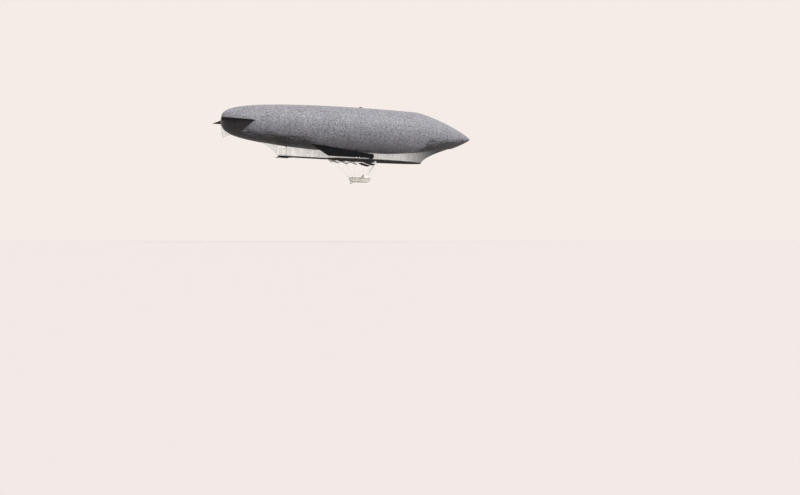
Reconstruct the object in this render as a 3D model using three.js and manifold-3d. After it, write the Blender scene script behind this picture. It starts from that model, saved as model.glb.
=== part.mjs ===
// A half-size model of a semi-rigid airship: a gas bag with a flat underside, an oval steel
// platform slung close under it, a tail beam with crossed planes, and an open car on steel stays.
// All sizes are those of the model, in millimetres, half of the real airship's.
// +X is the nose, +Y is port, +Z is up. The origin is at mid-length on the axis of the gas bag.

import * as THREE from 'three';
import { mergeVertices } from 'three/addons/utils/BufferGeometryUtils.js';
import Module from 'manifold-3d';

const wasm = await Module();
wasm.setup();

// Driving dimensions

const GAP = 0.3; // clearance left between two pieces that touch
const SIDES = { port: 1, starboard: -1 };

const HULL = {
  length: 30500,
  radius: 2700,
  widest: 0.738, // share of the length from the tail to the widest ring
  tailCurve: 1.94,
  tailPower: 0.274, // under a half, so that the tail is blunt
  noseCurve: 1.31,
  nosePower: 0.838, // near one, so that the nose is a long point
  flat: 2430, // depth of the flat underside below the axis
  flatFront: 3000, // where the flat underside starts to bend up towards the nose
  flatCurve: 1.5,
  flatRise: 0.001233,
  flatSteps: 12,
  wall: 10,
  segments: 36,
};
// Rings of the gas bag, as shares of its length from the tail, closer where it curves more
const HULL_RINGS = [
  0, 0.0006, 0.003, 0.01, 0.025, 0.05, 0.09, 0.14, 0.2, 0.27, 0.35, 0.43,
  0.51, 0.59, 0.66, 0.72, 0.77, 0.82, 0.86, 0.9, 0.93, 0.96, 0.98, 1,
];

const VALVE = { x: 500, radius: 175, rise: 45 };

const FIN = {
  thickness: 20, rear: -15700, outerRear: 2350, front: -12550, outerFront: 2200, root: -12150,
  inside: 1000, // how far from the axis the outline starts, inside the gas bag
  poleReach: 40, poleInside: 400, poleHalf: 10,
};
const FIN_LOWER = {
  thickness: 20, tipX: -15100, tipZ: -1750, tipWidth: 60, frontX: -14250, frontZ: -1300,
  poleReach: 30, poleInside: 300, insideZ: -400,
};

const DECK = { rear: -3650, front: 8300, halfWidth: 1500, top: -3260, thickness: 9.7, segments: 48 };
const RIM = { width: 40, height: 60, bottom: -3330 };
const CROSS_TUBES = [-2700, -1450, -100, 1250, 2150, 3300, 4550, 5800, 7050];
const CROSS_TUBE = { radius: 14, z: -3300 };

// Inside is how far the outlines of the upright cloths run on into the gas bag before they are cut
const KEEL = { thickness: 16, rear: -7500, panel: 5640, inside: 300 };
const KEEL_FRONT = { edgeX: 8750, edgeZ: -2450, tipX: 11900, tipZ: -1420 };
const KEEL_TAIL = { front: -9250, foot: 80, edgeX: -9600, edgeZ: -2600, tipX: -11250, tipZ: -1960 };

const SCREEN = {
  side: 1330, thickness: 12, front: 1530, rearLow: -3950, rearHigh: -6150,
  bottom: -3175, bottomRear: -3230, topFront: -2700, topRear: -1900,
  posts: [-300, 600, 1450], postHalf: 10, // the posts stand on the platform
};

const BEAM = { rear: -9200, chord: 12, web: 8, top: -3272, bottom: -3400, halfWidth: 110, bays: 8 };
const BEAM_PLANE = { thickness: 20, front: -7500, corner: 150, outerFront: 420, outerRear: 1150 };
const BEAM_FIN = { thickness: 14, front: -7950, slant: 200, rear: -8850, depth: 120 };

const RUDDER = {
  x: -8300, front: -7600, rear: -9100, top: -2400, topRear: -2460, bottom: -3215,
  thickness: 16, post: 14, tiller: 320, tillerZ: -3236, tillerRadius: 8,
};
const RUDDER_BRACKET = { radius: 60, bottom: -2370, inside: -2000 };

const ELEVATOR = {
  x: 1250, z: -3700, chord: 1200, thickness: 14, shaft: 12, end: 1324.5,
  inner: 150, outer: 1290, // reach of each plane at the shaft
  innerCorner: 210, outerCorner: 1170, // and at its leading and trailing edge
  restTilt: 15, // degrees, leading edge down
};
const HANGER = { width: 44, thickness: 20, bottom: -3750 };

const CAR = {
  centre: 400, length: 2700, halfBeam: 375, rim: -5375, depth: 415, wall: 12,
  plump: 2.4, // higher is fuller towards the ends
  flatShare: 0.7, // share of the length over which the bottom is flat
  outline: 14, // steps of the outline from amidships to an end
  tipAngle: Math.PI / 5, // half the angle of the pointed ends, seen from above
  thinnest: 2, // half-width at which the outline gives way to the point
};
const GUNWALE = { out: 8, inward: 20, height: 28 };
const FLOOR = { thickness: 12, share: 0.68, edge: 6 };

// Stays of one side, from the rim of the platform down to the gunwale: top x, bottom x
const STAYS = [
  [-3400, -880],
  [-2300, -550],
  [-900, -370],
  [450, 600],
  [2200, 1560],
];
const STAY_RADIUS = 4;

const ENGINE = { rear: -300, front: 180, halfWidth: 90, top: -5420, cylinder: 48, cylinderTop: -5275 };
const GEARBOX = { rear: 180.3, front: 310, halfWidth: 70, top: -5285 };
const RADIATOR = { rear: 330, front: 400, halfWidth: 190, top: -5390 };
const TANK = {
  rear: -770, front: -560, radius: 68, z: -5600, cradleHalf: 45, cradleRear: 60, cradleFront: 40,
};
const BLOWER = {
  x: 1120, radius: 125, halfWidth: 60, z: -5630, outlet: 95, outletTop: -5400, foot: 80,
};
const DUCT_RADIUS = 110;
const DUCT_HOLE = { x: 2760, y: 260, radius: 95 };
const WHEEL = {
  x: 815, z: -5190, radius: 150, rim: 9, column: 12, spoke: 6, hub: 22, hubRear: 14, hubFront: 26,
};
const LEVER = {
  x: 560, y: 200, height: 330, pivot: 30, lean: 60, arm: 7, knob: 16,
  quadrant: [60, 12, 60], // half-length, half-width and height
};
const EXHAUST = {
  radius: 26, y: -60, gauzeRadius: 44, gauzeFront: [-700, -5965], gauzeRear: [-840, -6024],
  // Points of the pipe as x and z, from the skin of the car down and back
  path: [[-440, -5770], [-455, -5830], [-560, -5905], [-760, -5990]],
};

const PROPELLER = {
  hubX: 120, y: 1100, z: -5320, radius: 625, restAngle: 20, pitch: 25,
  hub: 28, hubHalf: 40, shaft: 14, blade: 7,
};
const OUTRIGGER = {
  x: 250, housing: 48, housingRear: 50, housingFront: 40, tube: 12, strut: 9,
  pillowHalf: 22, pillowIn: 16, pillowOut: 6, // the block that carries the shaft on the gunwale
  foot: 0.8, // depth of the lower strut's foot, as a share of the car's depth
  fore: 420, // how far ahead the second strut meets the gunwale
};

// Colours, after the grey tones of the photograph

const material = (color, roughness, metalness) =>
  new THREE.MeshStandardMaterial({ color, roughness, metalness });
const MATERIALS = {
  envelope: material('#8e8f94', 0.6, 0),
  cloth: material('#cfcdca', 0.85, 0),
  canvas: material('#34363a', 0.9, 0),
  tube: material('#3c3e42', 0.45, 0.7),
  steel: material('#8d9094', 0.35, 0.9),
  car: material('#c9c6bf', 0.7, 0),
  wood: material('#8a6f4d', 0.7, 0),
  iron: material('#4a4b4d', 0.6, 0.6),
  brass: material('#a98c4e', 0.35, 0.9),
};

// Making and joining closed bodies

// A closed body from a three.js geometry, its shared corners merged
function solid(geometry) {
  geometry.deleteAttribute('normal');
  geometry.deleteAttribute('uv');
  const merged = mergeVertices(geometry, 1e-3);
  const corners = merged.index.array;
  const triVerts = [];
  for (let i = 0; i < corners.length; i += 3) {
    const [a, b, c] = corners.slice(i, i + 3);
    if (a !== b && b !== c && c !== a) triVerts.push(a, b, c);
  }
  const mesh = new wasm.Mesh({
    numProp: 3,
    vertProperties: new Float32Array(merged.attributes.position.array),
    triVerts: new Uint32Array(triVerts),
  });
  return new wasm.Manifold(mesh);
}

const join = (first, ...others) => others.reduce((whole, body) => whole.add(body), first);
const cut = (first, ...others) => others.reduce((whole, body) => whole.subtract(body), first);

function shapeOf(points) {
  return new THREE.Shape(points.map(([u, v]) => new THREE.Vector2(u, v)));
}

// A plate whose outline is drawn in x and y, from one height up to another
function levelPlate(shape, bottom, top) {
  const geometry = new THREE.ExtrudeGeometry(shape, { depth: top - bottom, bevelEnabled: false });
  return solid(geometry.translate(0, 0, bottom));
}

// A plate whose outline is drawn in x and z, centred on a distance to port
function uprightPlate(shape, thickness, y = 0) {
  const geometry = new THREE.ExtrudeGeometry(shape, { depth: thickness, bevelEnabled: false });
  return solid(geometry.rotateX(Math.PI / 2).translate(0, y + thickness / 2, 0));
}

// A block between two corners
function block([x0, y0, z0], [x1, y1, z1]) {
  const geometry = new THREE.BoxGeometry(Math.abs(x1 - x0), Math.abs(y1 - y0), Math.abs(z1 - z0));
  return solid(geometry.translate((x0 + x1) / 2, (y0 + y1) / 2, (z0 + z1) / 2));
}

// A round bar between two points
function bar(from, to, radius, sides = 8) {
  const start = new THREE.Vector3(...from);
  const along = new THREE.Vector3(...to).sub(start);
  const geometry = new THREE.CylinderGeometry(radius, radius, along.length(), sides);
  const turn = new THREE.Quaternion().setFromUnitVectors(
    new THREE.Vector3(0, 1, 0), along.clone().normalize());
  geometry.applyQuaternion(turn);
  const middle = start.addScaledVector(along, 0.5);
  return solid(geometry.translate(middle.x, middle.y, middle.z));
}

// A round pipe along a smooth curve through points
function pipe(points, radius, sides, steps) {
  const path = new THREE.CatmullRomCurve3(points.map((p) => new THREE.Vector3(...p)));
  const section = new THREE.Shape();
  section.absarc(0, 0, radius, 0, Math.PI * 2);
  const options = { steps, curveSegments: sides / 2, extrudePath: path, bevelEnabled: false };
  return solid(new THREE.ExtrudeGeometry(section, options));
}

const named = [];

// Adds a closed body to the model as a named piece
function piece(name, body, finish) {
  const { vertProperties, triVerts } = body.getMesh();
  const geometry = new THREE.BufferGeometry();
  geometry.setAttribute('position', new THREE.BufferAttribute(vertProperties, 3));
  geometry.setIndex(new THREE.BufferAttribute(triVerts, 1));
  geometry.computeVertexNormals();
  const mesh = new THREE.Mesh(geometry, finish);
  mesh.name = name;
  named.push(mesh);
}

// The gas bag and what is fixed to it

function hullRadius(share) {
  if (share < HULL.widest) {
    const behind = (HULL.widest - share) / HULL.widest;
    return HULL.radius * (1 - behind ** HULL.tailCurve) ** HULL.tailPower;
  }
  const ahead = (share - HULL.widest) / (1 - HULL.widest);
  return HULL.radius * (1 - ahead ** HULL.noseCurve) ** HULL.nosePower;
}

// Depth of the flat underside below the axis
function bellyDepth(x) {
  return HULL.flat - HULL.flatRise * Math.max(x - HULL.flatFront, 0) ** HULL.flatCurve;
}

// All that is below the flat underside, moved up by inset
function belowBelly(inset) {
  const belly = [];
  for (let i = 0; i <= HULL.flatSteps; i += 1) {
    const x = HULL.flatFront + (i / HULL.flatSteps) * (HULL.length / 2 - HULL.flatFront);
    belly.push([x, inset - bellyDepth(x)]);
  }
  const nose = belly[HULL.flatSteps][1];
  return uprightPlate(shapeOf([
    [-HULL.length, -2 * HULL.radius], [HULL.length, -2 * HULL.radius],
    [HULL.length, nose], ...belly.reverse(), [-HULL.length, inset - HULL.flat],
  ]), 3 * HULL.radius);
}

// The gas bag as a filled body, its skin moved inwards by inset
function hullBody(inset) {
  const rings = HULL_RINGS.map((share) => new THREE.Vector2(
    Math.max(hullRadius(share), 0), (share - 0.5) * HULL.length));
  const profile = rings.map((ring, i) => {
    const before = rings[Math.max(i - 1, 0)];
    const after = rings[Math.min(i + 1, rings.length - 1)];
    const along = after.clone().sub(before).normalize();
    if (i === 0) return new THREE.Vector2(0, ring.y + inset);
    if (i === rings.length - 1) return new THREE.Vector2(0, ring.y - 2 * inset);
    return new THREE.Vector2(ring.x - inset * along.y, ring.y + inset * along.x);
  });
  const lathe = new THREE.LatheGeometry(profile, HULL.segments);
  lathe.rotateZ(-Math.PI / 2).rotateX(Math.PI);
  return solid(lathe).subtract(belowBelly(inset));
}

const hullOutside = hullBody(0);
const hullClear = hullBody(-GAP);

function envelope() {
  const { x, y, radius } = DUCT_HOLE;
  const hole = bar([x, y, -HULL.flat - 100], [x, y, 100 - HULL.flat], radius, 16);
  return cut(hullOutside, hullBody(HULL.wall), hole);
}

function gasValve() {
  const seat = bar(
    [VALVE.x, 0, HULL.radius * 0.9], [VALVE.x, 0, HULL.radius + VALVE.rise], VALVE.radius, 20);
  return cut(seat, hullClear);
}

function tailFin(side) {
  const outline = shapeOf([
    [FIN.root, side * FIN.inside],
    [FIN.root, side * hullRadius(FIN.root / HULL.length + 0.5)],
    [FIN.front, side * FIN.outerFront],
    [FIN.rear, side * FIN.outerRear],
    [-HULL.length / 2 - FIN.poleReach, side * FIN.poleHalf],
    [-HULL.length / 2 + FIN.poleInside, side * FIN.poleHalf],
  ]);
  return cut(levelPlate(outline, -FIN.thickness / 2, FIN.thickness / 2), hullClear);
}

function tailFinLower() {
  const rear = -HULL.length / 2;
  const outline = shapeOf([
    [rear - FIN_LOWER.poleReach, -FIN.thickness],
    [FIN_LOWER.tipX - FIN_LOWER.tipWidth, FIN_LOWER.tipZ],
    [FIN_LOWER.tipX, FIN_LOWER.tipZ],
    [FIN_LOWER.frontX, FIN_LOWER.frontZ],
    [FIN_LOWER.frontX, FIN_LOWER.insideZ],
    [rear + FIN_LOWER.poleInside, -FIN.thickness],
  ]);
  return cut(uprightPlate(outline, FIN_LOWER.thickness), hullClear);
}

// The upright cloth planes between the gas bag and the platform

function keelPlane(rear, front) {
  const low = DECK.top + GAP;
  const high = -HULL.flat + KEEL.inside;
  const outline = shapeOf([[rear, low], [front, low], [front, high], [rear, high]]);
  return cut(uprightPlate(outline, KEEL.thickness), hullClear);
}

function keelFront() {
  const low = DECK.top + GAP;
  const outline = new THREE.Shape();
  outline.moveTo(KEEL.panel + GAP, low);
  outline.lineTo(DECK.front, low);
  outline.quadraticCurveTo(KEEL_FRONT.edgeX, KEEL_FRONT.edgeZ, KEEL_FRONT.tipX, KEEL_FRONT.tipZ);
  outline.lineTo(KEEL_FRONT.tipX, KEEL_FRONT.tipZ + KEEL.inside);
  outline.lineTo(KEEL.panel + GAP, KEEL_FRONT.tipZ + KEEL.inside);
  return cut(uprightPlate(outline, KEEL.thickness), hullClear);
}

function keelTail() {
  const low = DECK.top + GAP;
  const outline = new THREE.Shape();
  outline.moveTo(KEEL_TAIL.front, low);
  outline.lineTo(KEEL_TAIL.front, KEEL_TAIL.tipZ + KEEL.inside);
  outline.lineTo(KEEL_TAIL.tipX, KEEL_TAIL.tipZ + KEEL.inside);
  outline.lineTo(KEEL_TAIL.tipX, KEEL_TAIL.tipZ);
  outline.quadraticCurveTo(KEEL_TAIL.edgeX, KEEL_TAIL.edgeZ, KEEL_TAIL.front - KEEL_TAIL.foot, low);
  return cut(uprightPlate(outline, KEEL.thickness), hullClear);
}

// The dark fireproof screens over the car

function screenSide(side) {
  const outline = shapeOf([
    [SCREEN.rearHigh, SCREEN.topRear],
    [SCREEN.rearLow, SCREEN.bottomRear],
    [SCREEN.front, SCREEN.bottom],
    [SCREEN.front, SCREEN.topFront],
  ]);
  const sheet = cut(uprightPlate(outline, SCREEN.thickness, side * SCREEN.side), hullClear);
  const inner = side * (SCREEN.side - SCREEN.thickness / 2);
  const outer = side * (SCREEN.side + SCREEN.thickness / 2);
  const posts = SCREEN.posts.map((x) => block(
    [x - SCREEN.postHalf, inner, DECK.top + GAP],
    [x + SCREEN.postHalf, outer, SCREEN.bottom + SCREEN.postHalf]));
  return join(sheet, ...posts);
}

function screenFront() {
  const half = SCREEN.side + SCREEN.thickness / 2;
  const front = SCREEN.front + GAP;
  return block(
    [front, -half, SCREEN.bottom], [front + SCREEN.thickness, half, SCREEN.topFront]);
}

// The platform

const deckCentre = (DECK.rear + DECK.front) / 2;
const deckHalfLength = (DECK.front - DECK.rear) / 2;

function deckHalfWidth(x) {
  return DECK.halfWidth * Math.sqrt(1 - ((x - deckCentre) / deckHalfLength) ** 2);
}

function oval(inset) {
  const outline = [];
  for (let i = 0; i < DECK.segments; i += 1) {
    const angle = (i / DECK.segments) * Math.PI * 2;
    outline.push([
      deckCentre + (deckHalfLength - inset) * Math.cos(angle),
      (DECK.halfWidth - inset) * Math.sin(angle),
    ]);
  }
  return outline;
}

const ductPath = [
  [BLOWER.x, 0, BLOWER.outletTop + GAP],
  [1260, 50, -5150],
  [2250, 220, -3750],
  [2620, 255, -3000],
  [DUCT_HOLE.x, DUCT_HOLE.y, -HULL.flat - GAP],
];

function airDuct(clearance) {
  const duct = pipe(ductPath, DUCT_RADIUS + clearance, 12, 14);
  const above = block([0, -500, -HULL.flat - GAP], [4000, 900, -1000]);
  const below = block([0, -500, -6000], [2000, 900, BLOWER.outletTop + GAP]);
  return cut(duct, above, below);
}

function platformFrame() {
  const ring = cut(
    levelPlate(shapeOf(oval(0)), RIM.bottom, RIM.bottom + RIM.height),
    levelPlate(shapeOf(oval(RIM.width)), RIM.bottom - 10, RIM.bottom + RIM.height + 10));
  const middle = bar(
    [DECK.rear + 10, 0, CROSS_TUBE.z], [DECK.front - 10, 0, CROSS_TUBE.z], CROSS_TUBE.radius);
  const across = CROSS_TUBES.map((x) => {
    const half = deckHalfWidth(x) - RIM.width / 2;
    return bar([x, -half, CROSS_TUBE.z], [x, half, CROSS_TUBE.z], CROSS_TUBE.radius);
  });
  return join(ring, middle, ...across);
}

function platformDeck() {
  const plate = levelPlate(shapeOf(oval(0)), DECK.top - DECK.thickness, DECK.top);
  return cut(plate, airDuct(8));
}

// The tail beam, its planes and the rudder

function tailBeam() {
  const front = DECK.rear - GAP;
  const chords = [
    bar([BEAM.rear, 0, BEAM.top], [front, 0, BEAM.top], BEAM.chord),
    bar([BEAM.rear, BEAM.halfWidth, BEAM.bottom], [front, BEAM.halfWidth, BEAM.bottom], BEAM.chord),
    bar([BEAM.rear, -BEAM.halfWidth, BEAM.bottom], [front, -BEAM.halfWidth, BEAM.bottom], BEAM.chord),
  ];
  const bay = (front - BEAM.chord - (BEAM.rear + BEAM.chord)) / BEAM.bays;
  const webs = [];
  for (let i = 0; i <= BEAM.bays; i += 1) {
    const x = BEAM.rear + BEAM.chord + i * bay;
    const port = [x, BEAM.halfWidth, BEAM.bottom];
    const starboard = [x, -BEAM.halfWidth, BEAM.bottom];
    webs.push(bar(port, starboard, BEAM.web, 6));
    webs.push(bar(port, [x, 0, BEAM.top], BEAM.web, 6));
    webs.push(bar(starboard, [x, 0, BEAM.top], BEAM.web, 6));
  }
  return join(...chords, ...webs);
}

function beamPlane(side) {
  const inner = BEAM.halfWidth + BEAM.chord + GAP;
  const outline = shapeOf([
    [BEAM_PLANE.front, side * inner],
    [BEAM_PLANE.front - BEAM_PLANE.corner, side * BEAM_PLANE.outerFront],
    [BEAM.rear, side * BEAM_PLANE.outerRear],
    [BEAM.rear, side * inner],
  ]);
  return levelPlate(
    outline, BEAM.bottom - BEAM_PLANE.thickness / 2, BEAM.bottom + BEAM_PLANE.thickness / 2);
}

function beamFin() {
  const top = BEAM.bottom - BEAM.web - GAP;
  const outline = shapeOf([
    [BEAM_FIN.front, top],
    [BEAM_FIN.rear, top],
    [BEAM_FIN.rear, top - BEAM_FIN.depth],
    [BEAM_FIN.front - BEAM_FIN.slant, top - BEAM_FIN.depth],
  ]);
  return uprightPlate(outline, BEAM_FIN.thickness);
}

function rudder() {
  const plane = uprightPlate(shapeOf([
    [RUDDER.front, RUDDER.bottom],
    [RUDDER.rear, RUDDER.bottom],
    [RUDDER.rear, RUDDER.topRear],
    [RUDDER.front, RUDDER.top],
  ]), RUDDER.thickness);
  const foot = BEAM.top + BEAM.chord + GAP;
  const head = RUDDER_BRACKET.bottom - GAP;
  const post = bar([RUDDER.x, 0, foot], [RUDDER.x, 0, head], RUDDER.post, 12);
  const tiller = bar(
    [RUDDER.x, -RUDDER.tiller, RUDDER.tillerZ], [RUDDER.x, RUDDER.tiller, RUDDER.tillerZ],
    RUDDER.tillerRadius, 6);
  return join(plane, post, tiller);
}

function rudderBracket() {
  const pad = bar(
    [RUDDER.x, 0, RUDDER_BRACKET.bottom], [RUDDER.x, 0, RUDDER_BRACKET.inside],
    RUDDER_BRACKET.radius, 16);
  return cut(pad, hullClear);
}

// The movable level planes under the platform

function elevator() {
  const { x, z, chord, inner, outer, innerCorner, outerCorner } = ELEVATOR;
  const { thickness, shaft, end, restTilt } = ELEVATOR;
  const axle = bar([x, -end, z], [x, end, z], shaft, 12);
  const planes = Object.values(SIDES).map((side) => {
    const level = levelPlate(shapeOf([
      [-chord / 2, side * innerCorner],
      [-chord / 2, side * outerCorner],
      [0, side * outer],
      [chord / 2, side * outerCorner],
      [chord / 2, side * innerCorner],
      [0, side * inner],
    ]), -thickness / 2, thickness / 2);
    return level.rotate([0, restTilt, 0]).translate([x, 0, z]);
  });
  return join(axle, ...planes);
}

function elevatorHanger(side) {
  const inner = ELEVATOR.end + GAP;
  const top = CROSS_TUBE.z - CROSS_TUBE.radius - GAP;
  return block(
    [ELEVATOR.x - HANGER.width / 2, side * inner, HANGER.bottom],
    [ELEVATOR.x + HANGER.width / 2, side * (inner + HANGER.thickness), top]);
}

// The car

function carHalfBeam(x) {
  const reach = Math.abs(x - CAR.centre) / (CAR.length / 2);
  return CAR.halfBeam * (1 - Math.min(reach, 1) ** CAR.plump);
}

// Outline of the car seen from above, moved out by offset, between two shares of its half-length
function carPlan(offset, share = 1) {
  const half = CAR.length / 2;
  const tip = offset / Math.tan(CAR.tipAngle);
  const port = [];
  for (let i = -CAR.outline; i <= CAR.outline; i += 1) {
    const x = CAR.centre + Math.sin((i / CAR.outline) * Math.PI / 2) * half * share;
    const y = carHalfBeam(x) + offset;
    if (y > CAR.thinnest) port.push([x, y]);
  }
  const starboard = port.map(([x, y]) => [x, -y]);
  const stern = share < 1 ? [] : [[CAR.centre - half - tip, 0]];
  const bow = share < 1 ? [] : [[CAR.centre + half + tip, 0]];
  return shapeOf([...stern, ...starboard, ...bow, ...port.reverse()]);
}

// The car as a filled body, its skin moved inwards by inset, its top left high
function carBody(inset, top) {
  const half = CAR.length / 2 + 200;
  const plan = levelPlate(carPlan(-inset), CAR.rim - CAR.depth - 200, top);
  const side = new THREE.Shape();
  const flat = (CAR.length / 2) * CAR.flatShare;
  const rise = CAR.length / 2 - flat - inset;
  const bottom = CAR.depth - inset;
  side.moveTo(CAR.centre - half, top);
  side.lineTo(CAR.centre - flat - rise, CAR.rim);
  side.absellipse(CAR.centre - flat, CAR.rim, rise, bottom, Math.PI, 1.5 * Math.PI);
  side.absellipse(CAR.centre + flat, CAR.rim, rise, bottom, 1.5 * Math.PI, 2 * Math.PI);
  side.lineTo(CAR.centre + half, top);
  const profile = solid(new THREE.ExtrudeGeometry(
    side, { depth: 2000, bevelEnabled: false, curveSegments: 6 }).rotateX(Math.PI / 2)
    .translate(0, 1000, 0));
  return plan.intersect(profile);
}

const carAbove = block([-2000, -1000, CAR.rim], [3000, 1000, CAR.rim + 1000]);
const carSkin = cut(carBody(0, CAR.rim + 1), carBody(CAR.wall, CAR.rim + 2), carAbove);

// The upright covering of one side of the car, from bow to stern
function carSide(side) {
  const inside = levelPlate(carPlan(-CAR.wall), CAR.rim - CAR.depth - 100, CAR.rim + 100);
  const otherHalf = block([-2000, side * GAP / 2, -7000], [3000, -side * 1000, CAR.rim + 100]);
  return cut(carSkin, inside, otherHalf);
}

// The covering under the car, curved up to a point at both ends
function carBottom() {
  const inside = levelPlate(carPlan(-CAR.wall - GAP), CAR.rim - CAR.depth - 100, CAR.rim + 100);
  return carSkin.intersect(inside);
}

function carGunwale() {
  const low = CAR.rim + GAP;
  return cut(
    levelPlate(carPlan(GUNWALE.out), low, low + GUNWALE.height),
    levelPlate(carPlan(-GUNWALE.inward), low - 10, low + GUNWALE.height + 10));
}

const floorLow = CAR.rim - CAR.depth + CAR.wall + GAP;
const floorTop = floorLow + FLOOR.thickness;

function carFloor() {
  return levelPlate(carPlan(-CAR.wall - FLOOR.edge, FLOOR.share), floorLow, floorTop);
}

function engine() {
  const { rear, front, halfWidth, top, cylinder, cylinderTop } = ENGINE;
  const crankcase = block([rear, -halfWidth, floorTop + GAP], [front, halfWidth, top]);
  const pots = [0, 1, 2, 3].map((i) => {
    const x = rear + ((i + 0.5) * (front - rear)) / 4;
    return bar([x, 0, top - 20], [x, 0, cylinderTop], cylinder, 12);
  });
  return join(crankcase, ...pots);
}

function gearbox() {
  return block(
    [GEARBOX.rear, -GEARBOX.halfWidth, floorTop + GAP],
    [GEARBOX.front, GEARBOX.halfWidth, GEARBOX.top]);
}

function radiator() {
  return block(
    [RADIATOR.rear, -RADIATOR.halfWidth, floorTop + GAP],
    [RADIATOR.front, RADIATOR.halfWidth, RADIATOR.top]);
}

function fuelTank() {
  const { rear, front, radius, z, cradleHalf, cradleRear, cradleFront } = TANK;
  const drum = bar([rear, 0, z], [front, 0, z], radius, 16);
  const cradle = block(
    [rear + cradleRear, -cradleHalf, CAR.rim - CAR.depth], [front - cradleFront, cradleHalf, z]);
  const skin = cut(carBody(-50, CAR.rim + 1), carBody(CAR.wall + GAP, CAR.rim + 2));
  return cut(join(drum, cradle), skin);
}

function blower() {
  const { x, radius, halfWidth, z, outlet, outletTop, foot } = BLOWER;
  const casing = bar([x, -halfWidth, z], [x, halfWidth, z], radius, 16);
  const neck = bar([x, 0, z], [x, 0, outletTop], outlet, 16);
  const base = block([x - foot, -halfWidth, floorTop + GAP], [x + foot, halfWidth, z]);
  return join(casing, neck, base);
}

function steeringWheel() {
  const { x, z, radius, rim, column, spoke, hub, hubRear, hubFront } = WHEEL;
  const ring = solid(new THREE.TorusGeometry(radius, rim, 6, 20).rotateY(Math.PI / 2).translate(x, 0, z));
  const spokes = [0, 1, 2].map((i) => {
    const angle = (i * Math.PI) / 3;
    const [dy, dz] = [radius * Math.cos(angle), radius * Math.sin(angle)];
    return bar([x, -dy, z - dz], [x, dy, z + dz], spoke, 6);
  });
  const post = bar([x + column, 0, floorTop + GAP], [x + column, 0, z], column, 8);
  const boss = bar([x - hubRear, 0, z], [x + hubFront, 0, z], hub, 10);
  return join(ring, post, boss, ...spokes);
}

function controlLever() {
  const { x, y, height, pivot, lean, arm, knob, quadrant: [halfLength, halfWidth, rise] } = LEVER;
  const quadrant = block(
    [x - halfLength, y - halfWidth, floorTop + GAP], [x + halfLength, y + halfWidth, floorTop + rise]);
  const handle = bar([x, y, floorTop + pivot], [x - lean, y, floorTop + height], arm, 6);
  const ball = solid(new THREE.SphereGeometry(knob, 10, 6).translate(x - lean, y, floorTop + height));
  return join(quadrant, handle, ball);
}

function exhaust() {
  const low = CAR.rim - CAR.depth - GAP;
  const at = ([x, z]) => [x, EXHAUST.y, z];
  const bend = pipe(EXHAUST.path.map(at), EXHAUST.radius, 10, 8);
  const gauze = bar(at(EXHAUST.gauzeFront), at(EXHAUST.gauzeRear), EXHAUST.gauzeRadius, 10);
  const above = block([-1000, -300, low], [0, 300, low + 300]);
  return cut(join(bend, gauze), above);
}

// A taut stay from the underside of the rim to the top of the gunwale, its ends cut level
function stay([topX, bottomX], side) {
  const top = RIM.bottom - GAP;
  const bottom = CAR.rim + 2 * GAP + GUNWALE.height;
  const rise = top - bottom;
  const topY = side * (deckHalfWidth(topX) - RIM.width / 2);
  const bottomY = side * Math.max(carHalfBeam(bottomX) - 6, 4);
  const rod = new THREE.CylinderGeometry(STAY_RADIUS, STAY_RADIUS, rise, 8).rotateX(Math.PI / 2);
  const lean = new THREE.Matrix4().set(
    1, 0, (topX - bottomX) / rise, (topX + bottomX) / 2,
    0, 1, (topY - bottomY) / rise, (topY + bottomY) / 2,
    0, 0, 1, (top + bottom) / 2,
    0, 0, 0, 1);
  return solid(rod.applyMatrix4(lean));
}

// The propellers and what carries them

function outrigger(side) {
  const { x, housing, housingRear, housingFront, tube, strut, foot, fore } = OUTRIGGER;
  const { pillowHalf, pillowIn, pillowOut } = OUTRIGGER;
  const { y, z } = PROPELLER;
  const at = (dx, dy, dz) => [x + dx, side * dy, dz];
  const shaft = bar(at(0, GEARBOX.halfWidth + GAP, z), at(0, y, z), tube, 10);
  const gears = bar([x - housingRear, side * y, z], [x + housingFront, side * y, z], housing, 12);
  const beam = carHalfBeam(x);
  const pillow = block(
    at(-pillowHalf, beam - pillowIn, CAR.rim + GUNWALE.height + 2 * GAP),
    at(pillowHalf, beam + pillowOut, z));
  const lower = bar(at(0, y, z), at(0, beam - 40, CAR.rim - CAR.depth * foot), strut, 8);
  const ahead = bar(
    at(0, y, z), at(fore, carHalfBeam(x + fore) - 30, CAR.rim + GUNWALE.height / 2), strut, 8);
  const gunwaleClear = levelPlate(
    carPlan(GUNWALE.out + GAP), CAR.rim, CAR.rim + GUNWALE.height + 2 * GAP);
  const outside = cut(join(lower, ahead), carBody(-GAP, CAR.rim + 2), gunwaleClear);
  return join(shaft, gears, pillow, outside);
}

function propeller(side) {
  const { hubX, y, z, radius, restAngle, pitch, hub, hubHalf, shaft, blade } = PROPELLER;
  const rearOfGears = OUTRIGGER.x - OUTRIGGER.housingRear - GAP;
  const boss = bar([hubX - hubHalf, 0, 0], [hubX + hubHalf, 0, 0], hub, 12);
  const axle = bar([hubX, 0, 0], [rearOfGears, 0, 0], shaft, 10);
  const outline = shapeOf([
    [-18, 0], [-24, 180], [-62, 330], [-66, 480], [-48, 590], [-20, radius],
    [20, radius], [44, 590], [52, 480], [46, 330], [22, 180], [18, 0],
  ]);
  const blades = [0, 180].map((turn) => {
    const geometry = new THREE.ExtrudeGeometry(outline, { depth: blade, bevelEnabled: false });
    geometry.translate(0, 0, -blade / 2);
    geometry.rotateY(THREE.MathUtils.degToRad(90 - side * pitch));
    geometry.rotateX(THREE.MathUtils.degToRad(turn + side * restAngle));
    return solid(geometry.translate(hubX, 0, 0));
  });
  const whole = join(boss, axle, ...blades);
  return whole.translate([0, side * y, z]);
}

// The whole airship

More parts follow.
